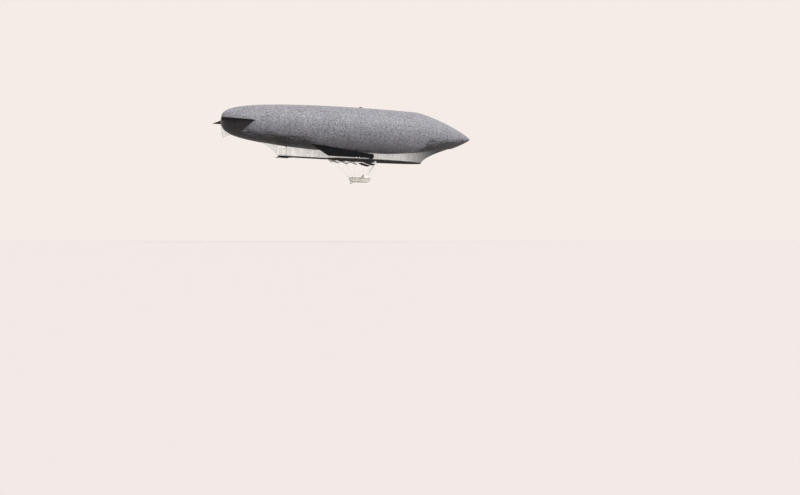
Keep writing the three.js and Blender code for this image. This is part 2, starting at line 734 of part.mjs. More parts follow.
piece('envelope', envelope(), MATERIALS.envelope);
piece('gas_valve', gasValve(), MATERIALS.brass);
piece('tail_fin_lower', tailFinLower(), MATERIALS.cloth);
piece('keel_rear', keelPlane(KEEL.rear, SCREEN.front), MATERIALS.cloth);
piece('keel_middle', keelPlane(SCREEN.front + SCREEN.thickness + 2 * GAP, KEEL.panel), MATERIALS.cloth);
piece('keel_front', keelFront(), MATERIALS.cloth);
piece('keel_tail', keelTail(), MATERIALS.cloth);
piece('screen_front', screenFront(), MATERIALS.canvas);
piece('platform_frame', platformFrame(), MATERIALS.tube);
piece('platform_deck', platformDeck(), MATERIALS.canvas);
piece('tail_beam', tailBeam(), MATERIALS.tube);
piece('beam_fin', beamFin(), MATERIALS.canvas);
piece('rudder', rudder(), MATERIALS.cloth);
piece('rudder_bracket', rudderBracket(), MATERIALS.tube);
piece('elevator', elevator(), MATERIALS.canvas);
piece('car_bottom', carBottom(), MATERIALS.car);
piece('car_gunwale', carGunwale(), MATERIALS.tube);
piece('car_floor', carFloor(), MATERIALS.wood);
piece('engine', engine(), MATERIALS.iron);
piece('gearbox', gearbox(), MATERIALS.iron);
piece('radiator', radiator(), MATERIALS.brass);
piece('fuel_tank', fuelTank(), MATERIALS.brass);
piece('blower', blower(), MATERIALS.iron);
piece('air_duct', airDuct(0), MATERIALS.cloth);
piece('steering_wheel', steeringWheel(), MATERIALS.wood);
piece('control_lever', controlLever(), MATERIALS.steel);
piece('exhaust', exhaust(), MATERIALS.iron);

for (const [name, side] of Object.entries(SIDES)) {
  piece(`tail_fin_${name}`, tailFin(side), MATERIALS.canvas);
  piece(`screen_${name}`, screenSide(side), MATERIALS.canvas);
  piece(`car_side_${name}`, carSide(side), MATERIALS.car);
  piece(`beam_plane_${name}`, beamPlane(side), MATERIALS.canvas);
  piece(`elevator_hanger_${name}`, elevatorHanger(side), MATERIALS.tube);
  piece(`outrigger_${name}`, outrigger(side), MATERIALS.tube);
  piece(`propeller_${name}`, propeller(side), MATERIALS.steel);
  STAYS.forEach((ends, i) => piece(`stay_${name}_${i + 1}`, stay(ends, side), MATERIALS.steel));
}

const airship = new THREE.Group();
airship.add(...named);

export default airship;
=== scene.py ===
# The looks of a half-size semi-rigid airship: cloth hull, fins, keel, platform, tail beam and car.
# Sizes are in metres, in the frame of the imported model: +X is the nose, +Y is port, +Z is up.

import math

import bmesh
import bpy
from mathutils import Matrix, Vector


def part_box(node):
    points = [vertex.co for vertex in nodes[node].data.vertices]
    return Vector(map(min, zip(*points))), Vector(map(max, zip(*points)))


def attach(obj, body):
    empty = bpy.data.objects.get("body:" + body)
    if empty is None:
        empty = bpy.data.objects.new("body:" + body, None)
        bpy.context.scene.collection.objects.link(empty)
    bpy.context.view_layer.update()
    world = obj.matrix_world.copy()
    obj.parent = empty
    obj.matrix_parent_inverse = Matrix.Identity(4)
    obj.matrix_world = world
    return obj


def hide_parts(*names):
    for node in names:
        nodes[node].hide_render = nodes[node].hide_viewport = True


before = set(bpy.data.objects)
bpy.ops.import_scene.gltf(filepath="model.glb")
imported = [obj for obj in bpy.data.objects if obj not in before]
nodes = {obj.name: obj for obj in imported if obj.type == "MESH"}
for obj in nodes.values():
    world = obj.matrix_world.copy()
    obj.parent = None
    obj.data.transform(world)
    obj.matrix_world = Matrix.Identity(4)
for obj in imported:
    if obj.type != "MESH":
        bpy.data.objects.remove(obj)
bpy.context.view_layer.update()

SIDES = {"port": 1, "starboard": -1}
X_AXIS, Y_AXIS, Z_AXIS = Vector((1, 0, 0)), Vector((0, 1, 0)), Vector((0, 0, 1))

# Camera, floor and light

CAMERA_PLACE = (-31.4, -72.5, -12.39)
CAMERA_YAW = 27  # degrees to the right of the +Y direction
LENS = 31.2
SHIFT_UP = -0.0094
FLOOR_HEIGHT = -12.6
FLOOR_RADIUS = 600
FLOOR_COLOUR = "D4D0D0"
SKY_COLOUR = "F5ECE7"
SUN_DIRECTION = (0.38, -0.62, 0.68)
SUN_STRENGTH = 2.35


def turns(count, ahead=0.0):
    """Even turns round a full circle in radians, the first one ahead by a share of a step."""
    return [math.tau * (i + ahead) / count for i in range(count)]


def spread(low, high, steps):
    """Steps + 1 even places from low to high."""
    return [low + (high - low) * i / steps for i in range(steps + 1)]


def linear(colour):
    """Linear red, green, blue and alpha of an sRGB hex colour."""
    parts = [int(colour[i:i + 2], 16) / 255 for i in (0, 2, 4)]
    return [p / 12.92 if p <= 0.04045 else ((p + 0.055) / 1.055) ** 2.4 for p in parts] + [1]


def add(tree, kind, inputs=None, **settings):
    """Adds a node with its settings. An input given as another node's output is linked."""
    node = tree.nodes.new(kind)
    for name, value in settings.items():
        setattr(node, name, value)
    for name, value in (inputs or {}).items():
        if isinstance(value, bpy.types.NodeSocket):
            tree.links.new(value, node.inputs[name])
        else:
            node.inputs[name].default_value = value
    return node


def make_camera():
    data = bpy.data.cameras.new("camera")
    data.lens = LENS
    data.shift_y = SHIFT_UP
    data.clip_end = 2000
    camera = bpy.data.objects.new("camera", data)
    camera.location = CAMERA_PLACE
    camera.rotation_euler = (math.radians(90), 0, math.radians(-CAMERA_YAW))
    bpy.context.scene.collection.objects.link(camera)
    bpy.context.scene.camera = camera


def make_floor():
    mesh = bpy.data.meshes.new("floor")
    ring = [(FLOOR_RADIUS * math.cos(turn), FLOOR_RADIUS * math.sin(turn), 0) for turn in turns(64)]
    mesh.from_pydata(ring, [], [range(64)])
    floor = bpy.data.objects.new("floor", mesh)
    floor.location.z = FLOOR_HEIGHT
    bpy.context.scene.collection.objects.link(floor)
    material = bpy.data.materials.new("pale_floor")
    material.use_nodes = True
    shader = material.node_tree.nodes["Principled BSDF"]
    shader.inputs["Base Color"].default_value = linear(FLOOR_COLOUR)
    shader.inputs["Roughness"].default_value = 0.9
    mesh.materials.append(material)
    # Light that the floor throws up would wash out the dark underside of the hull
    floor.visible_diffuse = False


def make_light():
    """An even pale sky, less bright below the horizon but for the camera, and a soft sun."""
    world = bpy.data.worlds.new("studio")
    world.use_nodes = True
    tree = world.node_tree
    tree.nodes.clear()
    way = add(tree, "ShaderNodeTexCoord")
    height = add(tree, "ShaderNodeSeparateXYZ", {0: way.outputs["Generated"]})
    share = add(tree, "ShaderNodeMapRange", {
        "Value": height.outputs["Z"], "From Min": -0.3, "From Max": 0.14, "To Min": 0.3, "To Max": 0.92,
    })
    seen = add(tree, "ShaderNodeLightPath")
    strength = add(tree, "ShaderNodeMix", {
        "Factor": seen.outputs["Is Camera Ray"], "A": share.outputs["Result"], "B": 1.0,
    }, data_type="FLOAT")
    sky = add(tree, "ShaderNodeBackground", {
        "Color": linear(SKY_COLOUR), "Strength": strength.outputs["Result"],
    })
    add(tree, "ShaderNodeOutputWorld", {"Surface": sky.outputs["Background"]})
    bpy.context.scene.world = world

    data = bpy.data.lights.new("sun", "SUN")
    data.energy = SUN_STRENGTH
    data.angle = math.radians(5)
    sun = bpy.data.objects.new("sun", data)
    sun.rotation_euler = Vector(SUN_DIRECTION).to_track_quat("Z", "Y").to_euler()
    bpy.context.scene.collection.objects.link(sun)
    bpy.context.scene.view_settings.view_transform = "Standard"


make_camera()
make_floor()
make_light()

# Materials. Each is named for what the real one is made of and how its surface was finished.

def surface(name, colour, roughness, metallic=0.0, ior=1.5):
    """A new material: its node tree, its shader and its place on the object in metres."""
    material = bpy.data.materials.new(name)
    material.use_nodes = True
    tree = material.node_tree
    shader = tree.nodes["Principled BSDF"]
    shader.inputs["Base Color"].default_value = linear(colour)
    shader.inputs["Roughness"].default_value = roughness
    shader.inputs["Metallic"].default_value = metallic
    if not metallic:
        shader.inputs["IOR"].default_value = ior
    place = add(tree, "ShaderNodeTexCoord").outputs["Object"]
    return material, tree, shader, place


def colour_between(tree, shader, share, first, second):
    """Paints the shader from one sRGB colour to another as share goes from 0 to 1."""
    mixed = add(tree, "ShaderNodeMix", {0: share, 6: linear(first), 7: linear(second)}, data_type="RGBA")
    tree.links.new(mixed.outputs[2], shader.inputs["Base Color"])
    return mixed.outputs[2]


def relief(tree, shader, height, metres):
    """Raises the surface by height, which runs from 0 to 1, times a depth in metres."""
    bump = add(tree, "ShaderNodeBump", {"Height": height, "Distance": metres})
    tree.links.new(bump.outputs["Normal"], shader.inputs["Normal"])


# Width of the cloth that the gas bag is sewn from, and the spacing of its lengthwise seams
CLOTH_WIDTH = 0.61
GORES = 28
TAPE_WIDTH = 0.028  # a 12 mm tape in the model, drawn wider so that it shows
FIN_SHADOW_EDGE = -12.3  # x less z along the front edge of the tail fins' painted shadow
# Painted shade reaches less high up the sides between these two spans of stations
SHADE_REAR = (-7.0, -2.0)
SHADE_FRONT = (5.4, 8.6)


def make_rubberised_cotton():
    """Two plies of cotton with rubber between, cemented and taped: matt and dusty, with shade painted on
    underneath and under the tail fins.
    """
    material, tree, shader, place = surface("rubberised_cotton", "A2A2A6", 0.62, ior=1.52)
    axes = add(tree, "ShaderNodeSeparateXYZ", {0: place})
    # Tape over the cross seams and the lengthwise seams
    along = add(tree, "ShaderNodeMath", {0: axes.outputs["X"], 1: CLOTH_WIDTH / 2}, operation="PINGPONG")
    cross = add(tree, "ShaderNodeMath", {0: along.outputs[0], 1: TAPE_WIDTH / 2}, operation="LESS_THAN")
    turn = add(tree, "ShaderNodeMath", {0: axes.outputs["Y"], 1: axes.outputs["Z"]}, operation="ARCTAN2")
    gore = add(tree, "ShaderNodeMath", {0: turn.outputs[0], 1: math.pi / GORES}, operation="PINGPONG")
    seam = add(tree, "ShaderNodeMath", {0: gore.outputs[0], 1: TAPE_WIDTH / 6}, operation="LESS_THAN")
    tape = add(tree, "ShaderNodeMath", {0: cross.outputs[0], 1: seam.outputs[0]}, operation="MAXIMUM")
    # Dust and damp patches, and fine puckers drawn at 140 mm where real ones are a third of that
    patch = add(tree, "ShaderNodeTexNoise", {"Vector": place, "Scale": 0.7, "Detail": 3.0})
    grain = add(tree, "ShaderNodeTexNoise", {"Vector": place, "Scale": 7.0, "Detail": 3.0})
    stretched = add(tree, "ShaderNodeMapping", {"Vector": place, "Scale": (0.12, 1.0, 1.0)})
    streak = add(tree, "ShaderNodeTexNoise", {"Vector": stretched.outputs[0], "Scale": 4.0, "Detail": 2.0})
    # Painted shade, as a mask: 0 on the underside and 1 above, less high amidships and highest at the nose
    half = add(tree, "ShaderNodeMath", {0: axes.outputs["Y"]}, operation="ABSOLUTE")
    rise = add(tree, "ShaderNodeMath", {0: axes.outputs["Z"], 1: half.outputs[0]}, operation="ARCTAN2")
    wander = add(tree, "ShaderNodeMath", {0: streak.outputs[0], 1: 0.9, 2: rise.outputs[0]},
                 operation="MULTIPLY_ADD")
    fore = add(tree, "ShaderNodeMapRange", {
        "Value": axes.outputs["X"], "From Min": SHADE_FRONT[1], "From Max": SHADE_FRONT[0], "To Min": -0.4,
    }, interpolation_type="SMOOTHSTEP")
    rear = add(tree, "ShaderNodeMapRange", {
        "Value": axes.outputs["X"], "From Min": SHADE_REAR[0], "From Max": SHADE_REAR[1],
    }, interpolation_type="SMOOTHSTEP")
    amidships = add(tree, "ShaderNodeMath", {0: fore.outputs[0], 1: rear.outputs[0]}, operation="MULTIPLY")
    lifted = add(tree, "ShaderNodeMath", {0: amidships.outputs[0], 1: 0.8, 2: wander.outputs[0]},
                 operation="MULTIPLY_ADD")
    unshaded = add(tree, "ShaderNodeMapRange", {
        "Value": lifted.outputs[0], "From Min": -0.5, "From Max": 0.02,
    }, interpolation_type="SMOOTHSTEP")
    # The tail fins' shadow painted black on the cloth under them, its front edge on the slant
    slant = add(tree, "ShaderNodeMath", {0: axes.outputs["X"], 1: axes.outputs["Z"]}, operation="SUBTRACT")
    aft = add(tree, "ShaderNodeMath", {0: slant.outputs[0], 1: FIN_SHADOW_EDGE}, operation="GREATER_THAN")
    above = add(tree, "ShaderNodeMath", {0: axes.outputs["Z"], 1: 0.0}, operation="GREATER_THAN")
    outside_fin_shadow = add(tree, "ShaderNodeMath", {0: aft.outputs[0], 1: above.outputs[0]}, operation="MAXIMUM")
    light = add(tree, "ShaderNodeMath", {0: unshaded.outputs[0], 1: outside_fin_shadow.outputs[0]}, operation="MULTIPLY")
    tone = add(tree, "ShaderNodeMath", {0: patch.outputs[0], 1: 0.45, 2: 0.28}, operation="MULTIPLY_ADD")
    speckle = add(tree, "ShaderNodeMath", {0: grain.outputs[0], 1: 2.3, 2: -1.15}, operation="MULTIPLY_ADD")
    mottled = add(tree, "ShaderNodeMath", {0: tone.outputs[0], 1: speckle.outputs[0]}, operation="ADD")
    taped = add(tree, "ShaderNodeMath", {0: tape.outputs[0], 1: -0.35, 2: mottled.outputs[0]},
                operation="MULTIPLY_ADD")
    upper = add(tree, "ShaderNodeMix", {0: taped.outputs[0], 6: linear("5C5F68"), 7: linear("A7A9B1")},
                data_type="RGBA")
    # Painted shade: near-black cloth where the mask is 0
    lower = add(tree, "ShaderNodeMix", {0: taped.outputs[0], 6: linear("06080A"), 7: linear("191B1F")},
                data_type="RGBA")
    cloth = add(tree, "ShaderNodeMix", {0: light.outputs[0], 6: lower.outputs[2], 7: upper.outputs[2]},
                data_type="RGBA")
    tree.links.new(cloth.outputs[2], shader.inputs["Base Color"])
    raised = add(tree, "ShaderNodeMath", {0: tape.outputs[0], 1: 0.4, 2: grain.outputs[0]},
                 operation="MULTIPLY_ADD")
    relief(tree, shader, raised.outputs[0], 0.012)
    shader.inputs["Sheen Weight"].default_value = 0.15
    return material


# Shade is painted on the front keel cloths, darker from the first of these stations to the second
SHADE_FROM = 4.8
SHADE_TO = 11.0


def woven(tree, place, spacing):
    """Threads crossing at a spacing in metres, as a height from 0 to 1."""
    waves = [
        add(tree, "ShaderNodeTexWave", {"Vector": place, "Scale": 1 / (spacing * 20), "Distortion": 0.3},
            bands_direction=direction)
        for direction in ("X", "Z")
    ]
    both = add(tree, "ShaderNodeMath", {0: waves[0].outputs["Fac"], 1: waves[1].outputs["Fac"]},
               operation="ADD")
    return add(tree, "ShaderNodeMath", {0: both.outputs[0], 1: 0.5}, operation="MULTIPLY").outputs[0]


def make_doped_cotton(name, painted_shade=None):
    """Cotton tightened with dope: matt, a little stained, partly see-through, and given a painted glow of
    light.
    """
    material, tree, shader, place = surface(name, "F2F0ED", 0.8, ior=1.48)
    stain = add(tree, "ShaderNodeTexNoise", {"Vector": place, "Scale": 1.1, "Detail": 5.0})
    colour = colour_between(tree, shader, stain.outputs[0], "D6D5D4", "FAF8F5")
    if painted_shade:
        # Painted shade: the cloth darkens more and more towards the nose
        axes = add(tree, "ShaderNodeSeparateXYZ", {0: place})
        forward = add(tree, "ShaderNodeMapRange", {
            "Value": axes.outputs["X"], "From Min": SHADE_FROM, "From Max": SHADE_TO,
        }, interpolation_type="SMOOTHSTEP")
        darkened = add(tree, "ShaderNodeMix", {0: forward.outputs[0], 6: colour, 7: linear(painted_shade)},
                       data_type="RGBA")
        colour = darkened.outputs[2]
        tree.links.new(colour, shader.inputs["Base Color"])
    # Painted light: the cloth glows by itself as if the bright sky behind shone through it; the translucent
    # share mixed in below is real
    tree.links.new(colour, shader.inputs["Emission Color"])
    shader.inputs["Emission Strength"].default_value = 0.5
    glow = add(tree, "ShaderNodeBsdfTranslucent", {"Color": colour})
    mixed = add(tree, "ShaderNodeMixShader", {0: 0.3, 1: shader.outputs[0], 2: glow.outputs[0]})
    tree.links.new(mixed.outputs[0], tree.nodes["Material Output"].inputs["Surface"])
    # Threads are 0.5 mm apart and drawn at 20 mm so that the weave shows
    relief(tree, shader, woven(tree, place, 0.02), 0.002)
    shader.inputs["Sheen Weight"].default_value = 0.2
    return material


def make_fireproof_canvas():
    """Heavy canvas soaked in a fireproofing salt and blackened: dull, with lighter rubbed patches."""
    material, tree, shader, place = surface("fireproof_canvas", "101113", 0.92, ior=1.45)
    rubbed = add(tree, "ShaderNodeTexNoise", {"Vector": place, "Scale": 2.5, "Detail": 6.0})
    colour_between(tree, shader, rubbed.outputs[0], "08090A", "1B1D20")
    # Canvas threads of 1 mm, drawn at 24 mm
    relief(tree, shader, woven(tree, place, 0.024), 0.003)
    # Rough fibres throw back less than a smooth skin of the same index
    shader.inputs["Specular IOR Level"].default_value = 0.15
    shader.inputs["Sheen Weight"].default_value = 0.03
    return material


def make_varnished_duck():
    """Cotton duck varnished against oil: greyish white, faintly glossy, with oil stains."""
    material, tree, shader, place = surface("varnished_duck", "EDEAE4", 0.5, ior=1.5)
    oil = add(tree, "ShaderNodeTexNoise", {"Vector": place, "Scale": 6.0, "Detail": 4.0})
    colour = colour_between(tree, shader, oil.outputs[0], "B0ACA4", "DAD7D0")
    # Painted light: the thin cloth glows faintly by itself, as if the bright sky on its far side shone
    # through
    tree.links.new(colour, shader.inputs["Emission Color"])
    shader.inputs["Emission Strength"].default_value = 0.15
    # Duck threads of 0.8 mm, drawn at 10 mm
    relief(tree, shader, woven(tree, place, 0.01), 0.001)
    return material


def make_metal(name, first, second, roughness, scale, metallic=1.0):
    """A metal whose tone and gloss wander between two colours over patches of 1 / scale metres."""
    material, tree, shader, place = surface(name, first, roughness, metallic)
    patch = add(tree, "ShaderNodeTexNoise", {"Vector": place, "Scale": scale, "Detail": 4.0})
    colour_between(tree, shader, patch.outputs[0], first, second)
    gloss = add(tree, "ShaderNodeMapRange", {
        "Value": patch.outputs[0], "To Min": roughness - 0.1, "To Max": roughness + 0.15,
    })
    tree.links.new(gloss.outputs[0], shader.inputs["Roughness"])
    return material, tree, shader, place


def make_enamelled_steel():
    """Drawn steel tube brushed with dark enamel: satin, with brush marks and small chips."""
    material, tree, shader, place = make_metal("enamelled_steel", "0F1012", "24262A", 0.45, 9.0,
                                               metallic=0.0)
    shader.inputs["Coat Weight"].default_value = 0.1
    brushed = add(tree, "ShaderNodeTexNoise", {"Vector": place, "Scale": 120.0, "Detail": 1.0})
    relief(tree, shader, brushed.outputs[0], 0.0006)
    return material


def make_wire_rope():
    """Galvanised steel rope of twisted strands: dull grey with a spiral lay."""
    material, tree, shader, place = make_metal("galvanised_rope", "4F5256", "7D8084", 0.5, 5.0)
    # Strands turn once in about 40 mm of rope
    lay = add(tree, "ShaderNodeTexWave", {"Vector": place, "Scale": 8.0}, bands_direction="DIAGONAL")
    relief(tree, shader, lay.outputs["Fac"], 0.001)
    return material


def make_tarred_cord():
    """Hemp cord soaked in tar against rain: nearly black, dull, with a coarse lay."""
    material, tree, shader, place = surface("tarred_hemp_cord", "25211D", 0.75, ior=1.5)
    fibre = add(tree, "ShaderNodeTexNoise", {"Vector": place, "Scale": 30.0, "Detail": 3.0})
    colour_between(tree, shader, fibre.outputs[0], "1A1816", "3A342D")
    # Three yarns turn once in 30 mm of cord
    lay = add(tree, "ShaderNodeTexWave", {"Vector": place, "Scale": 11.0}, bands_direction="DIAGONAL")
    relief(tree, shader, lay.outputs["Fac"], 0.001)
    return material


def make_ground_steel():
    """Propeller steel, ground and oiled: dark grey with a satin gloss and fine scratches."""
    material, tree, shader, place = make_metal("ground_steel", "3E4145", "66696D", 0.38, 3.0)
    # Grinding marks of 0.2 mm, drawn at 3 mm
    scratch = add(tree, "ShaderNodeTexNoise", {"Vector": place, "Scale": 300.0, "Detail": 2.0})
    relief(tree, shader, scratch.outputs[0], 0.0003)
    return material


def make_ash():
    """Varnished ash: straight brown grain, a soft gloss and darker worn patches."""
    material, tree, shader, place = surface("varnished_ash", "8A6840", 0.35, ior=1.52)
    drawn = add(tree, "ShaderNodeMapping", {"Vector": place, "Scale": (0.08, 1.0, 1.0)})
    # Growth rings are 2 mm apart in the model and drawn at 8 mm
    grain = add(tree, "ShaderNodeTexNoise", {"Vector": drawn.outputs[0], "Scale": 120.0, "Detail": 4.0})
    colour_between(tree, shader, grain.outputs[0], "5E4224", "B08A58")
    relief(tree, shader, grain.outputs[0], 0.0006)
    shader.inputs["Coat Weight"].default_value = 0.4
    return material


def make_cast(name, first, second, roughness):
    """A sand casting: grainy skin of about 1 mm, drawn at 4 mm, over patches of oil."""
    material, tree, shader, place = make_metal(name, first, second, roughness, 14.0)
    sand = add(tree, "ShaderNodeTexNoise", {"Vector": place, "Scale": 250.0, "Detail": 3.0})
    relief(tree, shader, sand.outputs[0], 0.001)
    return material


def make_sheet_brass():
    """Rolled brass sheet gone dull, with brown finger marks."""
    material, tree, shader, place = make_metal("sheet_brass", "A98C4E", "6F5A30", 0.36, 18.0)
    rolled = add(tree, "ShaderNodeTexNoise", {"Vector": place, "Scale": 60.0, "Detail": 2.0})
    relief(tree, shader, rolled.outputs[0], 0.0004)
    return material


cotton_bag = make_rubberised_cotton()
pale_cloth = make_doped_cotton("doped_cotton")
# The same cloth with shade painted on towards the nose
grey_cloth = make_doped_cotton("shaded_doped_cotton", painted_shade="595A5E")
dark_canvas = make_fireproof_canvas()
car_cloth = make_varnished_duck()
dark_tube = make_enamelled_steel()
rope = make_wire_rope()
dark_cord = make_tarred_cord()
bright_steel = make_ground_steel()
ash = make_ash()
cast_iron = make_cast("cast_iron", "3A3B3D", "56575A", 0.6)
cast_aluminium = make_cast("cast_aluminium", "8B8C8E", "A9AAAC", 0.5)
brass = make_sheet_brass()

# Gathering the corners and faces of a piece

def circle(centre, across, other, radius, sides):
    """Corners round a centre, in the plane of two directions that are square to each other."""
    return [centre + (across * math.cos(turn) + other * math.sin(turn)) * radius for turn in turns(sides)]


def circles(path, radii, sides, closed=False):
    """A circle of corners round each point of a path, square to the path."""
    points = [Vector(point) for point in path]
    rings, across = [], None
    for i, point in enumerate(points):
        before = points[i - 1] if i or closed else point
        after = points[(i + 1) % len(points)] if i + 1 < len(points) or closed else point
        forward = (after - before).normalized()
        if across is None:
            across = forward.orthogonal()
        across = (across - forward * across.dot(forward)).normalized()
        rings.append(circle(point, across, forward.cross(across), radii[i], sides))
    return rings


def smooth_path(points, steps):
    """A curve through points, with a number of steps from each point to the next."""
    points = [Vector(point) for point in points]
    ends = [points[0] * 2 - points[1], *points, points[-1] * 2 - points[-2]]
    path = []
    for before, start, end, after in zip(ends, ends[1:], ends[2:], ends[3:]):
        # Spaced by the roots of the distances, so that the curve stays slack at sharp bends
        came, goes, next_goes = (math.sqrt((b - a).length)
                                 for a, b in ((before, start), (start, end), (end, after)))
        across = (end - start) / goes
        leave = ((start - before) / came - (end - before) / (came + goes) + across) * goes
        arrive = (across - (after - start) / (goes + next_goes) + (after - end) / next_goes) * goes
        for t in (k / steps for k in range(steps)):
            path.append(start * (1 + t * t * (2 * t - 3)) + end * (t * t * (3 - 2 * t))
                        + leave * (t * (1 - t) ** 2) + arrive * (t * t * (t - 1)))
    return path + [points[-1]]


def evenly(path, spacing):
    """Points about as far apart as spacing along a path, all at the same distance."""
    lengths = [0.0]
    for start, end in zip(path, path[1:]):
        lengths.append(lengths[-1] + (end - start).length)
    made, i = [], 0
    for along in spread(0.0, lengths[-1], round(lengths[-1] / spacing)):
        while i < len(path) - 2 and lengths[i + 1] < along:
            i += 1
        made.append(path[i].lerp(path[i + 1], (along - lengths[i]) / (lengths[i + 1] - lengths[i])))
    return made


class Parts:
    """The corners and faces of one piece, each face with the number of its finish."""

    def __init__(self):
        self.corners, self.faces, self.finishes = [], [], []

    def add(self, corners, faces, finish=0):
        first = len(self.corners)
        self.corners += [Vector(corner) for corner in corners]
        self.faces += [[first + i for i in face] for face in faces]
        self.finishes += [finish] * len(faces)

    def rings(self, rings, finish=0, closed=False, capped=True):
        """Joins rings of as many corners each, one after the other."""
        count = len(rings[0])
        corners = [corner for ring in rings for corner in ring]
        last = len(rings) if closed else len(rings) - 1
        faces = [
            [i * count + j, i * count + (j + 1) % count,
             (i + 1) % len(rings) * count + (j + 1) % count, (i + 1) % len(rings) * count + j]
            for i in range(last) for j in range(count)
        ]
        if capped and not closed:
            faces.append(list(range(count))[::-1])
            faces.append([(len(rings) - 1) * count + j for j in range(count)])
        self.add(corners, faces, finish)

    def tube(self, path, radius, sides=8, finish=0, closed=False):
        """A round tube along a path, with one radius or one for each point."""
        radii = radius if hasattr(radius, "__len__") else [radius] * len(path)
        self.rings(circles(path, radii, sides, closed), finish, closed)

    def lathe(self, centre, axis, profile, sides=24, finish=0):
        """A turned form round an axis through centre, from (distance along, radius) pairs."""
        forward = Vector(axis).normalized()
        across = forward.orthogonal().normalized()
        other = forward.cross(across)
        self.rings([
            circle(Vector(centre) + forward * along, across, other, max(radius, 1e-4), sides)
            for along, radius in profile
        ], finish)

    def block(self, low, high, finish=0):
        """A block between two corners."""
        (x0, y0, z0), (x1, y1, z1) = low, high
        self.rings([[(x, y0, z0), (x, y1, z0), (x, y1, z1), (x, y0, z1)] for x in (x0, x1)], finish)

    def panel(self, stations, low, high, rows, place, out, half):
        """A cloth panel over stations along it, from low(s) to high(s) across it.
        place turns (station, across, outward) into a point, out(s, share) is how far the cloth
        billows, and half(s, share) is half its thickness there."""
        sides = []
        for way in (1, -1):
            sides.append([[
                place(s, low(s) + (high(s) - low(s)) * row / rows,
                      out(s, row / rows) + way * half(s, row / rows))
                for row in range(rows + 1)
            ] for s in stations])
        self.rings([front + back[::-1] for front, back in zip(*sides)])

    def ribs(self, stations, low, high, place, out, radius, inset=(0.0, 0.0), sides=6, finish=0):
        """A thin rib on each face of a panel at each station, from low to high less an inset."""
        for s in stations:
            for way in (out, -out):
                ends = [place(s, low(s) + inset[0], way), place(s, high(s) - inset[1], way)]
                self.tube(ends, radius, sides, finish)


SHARP_ANGLE = math.radians(35)  # faces that meet at more than this aren't shaded as one


def make_piece(name, parts, materials, body="airship", replaces=(), bevel=0.0):
    """Turns gathered parts into a named piece that rides on a body and may stand for CAD nodes."""
    mesh = bpy.data.meshes.new(name)
    mesh.from_pydata(parts.corners, [], parts.faces)
    for material in materials:
        mesh.materials.append(material)
    mesh.polygons.foreach_set("material_index", parts.finishes)
    work = bmesh.new()
    work.from_mesh(mesh)
    bmesh.ops.recalc_face_normals(work, faces=work.faces)
    work.to_mesh(mesh)
    work.free()
    mesh.shade_smooth()
    mesh.set_sharp_from_angle(angle=SHARP_ANGLE)
    made = bpy.data.objects.new(name, mesh)
    bpy.context.scene.collection.objects.link(made)
    if bevel:
        modifier = made.modifiers.new("edges", "BEVEL")
        modifier.width = bevel
        modifier.segments = 2
        modifier.limit_method = "ANGLE"
    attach(made, body)
    if replaces:
        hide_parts(*replaces)
    return made


def finish_node(name, material):
    """Gives a CAD node that stays in view its material."""
    mesh = nodes[name].data
    mesh.materials.clear()
    mesh.materials.append(material)


# The gas bag

HULL_LENGTH = 30.5
HULL_RADIUS = 2.7
HULL_TAIL = -15.24  # the tail's blunt end
HULL_FLAT = 2.43  # depth of the flat underside
BEND_START, BEND_RISE = 3.0, 0.039  # from this station on it bends up towards the nose
WIDEST = 0.738  # share of the length at which the hull is widest
# Curve and power of the outline from there to the tail and to the nose
TAIL_SHAPE = (1.94, 0.274)
NOSE_SHAPE = (1.31, 0.838)
NARROWEST_BELLY = 0.1  # radians to either side of the bottom line
# Where ropes leave the hull for the platform and for the beam, round it from the level of its axis
GIRDLE = math.radians(-45)
BEAM_LEADS = math.radians(-66)


def hull_radius(x):
    """Radius of the gas bag, which is round but for its flat underside."""
    share = x / HULL_LENGTH + 0.5
    if share < WIDEST:
        away, (curve, power) = (WIDEST - share) / WIDEST, TAIL_SHAPE
    else:
        away, (curve, power) = (share - WIDEST) / (1 - WIDEST), NOSE_SHAPE
    return HULL_RADIUS * max(1 - away ** curve, 0) ** power


def belly_depth(x):
    return HULL_FLAT - BEND_RISE * max(x - BEND_START, 0) ** 1.5


def hull_section(x):
    """Points round the gas bag at x, its bottom cut flat where it is deeper than the flat."""
    radius = hull_radius(x)
    is_flat = radius > belly_depth(x)
    belly = max(math.acos(belly_depth(x) / radius), NARROWEST_BELLY) if is_flat else NARROWEST_BELLY
    upper = spread(belly, math.tau - belly, 84)
    lower = spread(-belly, belly, 10)[1:-1]
    if not is_flat:
        return [(x, radius * math.sin(turn), -radius * math.cos(turn)) for turn in upper + lower]
    round_part = [(x, radius * math.sin(turn), -radius * math.cos(turn)) for turn in upper]
    half, depth = radius * math.sin(belly), -radius * math.cos(belly)
    return round_part + [(x, half * turn / belly, depth) for turn in lower]


def make_gas_bag():
    """The hull, in stations that lie closer together towards its blunt tail."""
    parts = Parts()
    behind = [(WIDEST * (i / 72) ** 3.4 - 0.5) * HULL_LENGTH for i in range(1, 73)]
    ahead = [(WIDEST + (1 - WIDEST) * i / 48 - 0.5) * HULL_LENGTH for i in range(1, 48)]
    tip = [HULL_LENGTH / 2 - 0.02]
    parts.rings([hull_section(x) for x in behind + ahead + tip])
    make_piece("gas_bag", parts, [cotton_bag], replaces=["envelope"])


def on_hull(x, turn, clear=0.0):
    """A point on the gas bag at x, turn radians above the level of its axis on the port side."""
    radius = hull_radius(x) + clear
    return Vector((x, radius * math.cos(turn), radius * math.sin(turn)))


def mirrored(point, side):
    """A point as it is on the port side, or its mirror image on the starboard side."""
    return Vector((point[0], point[1] * side, point[2]))


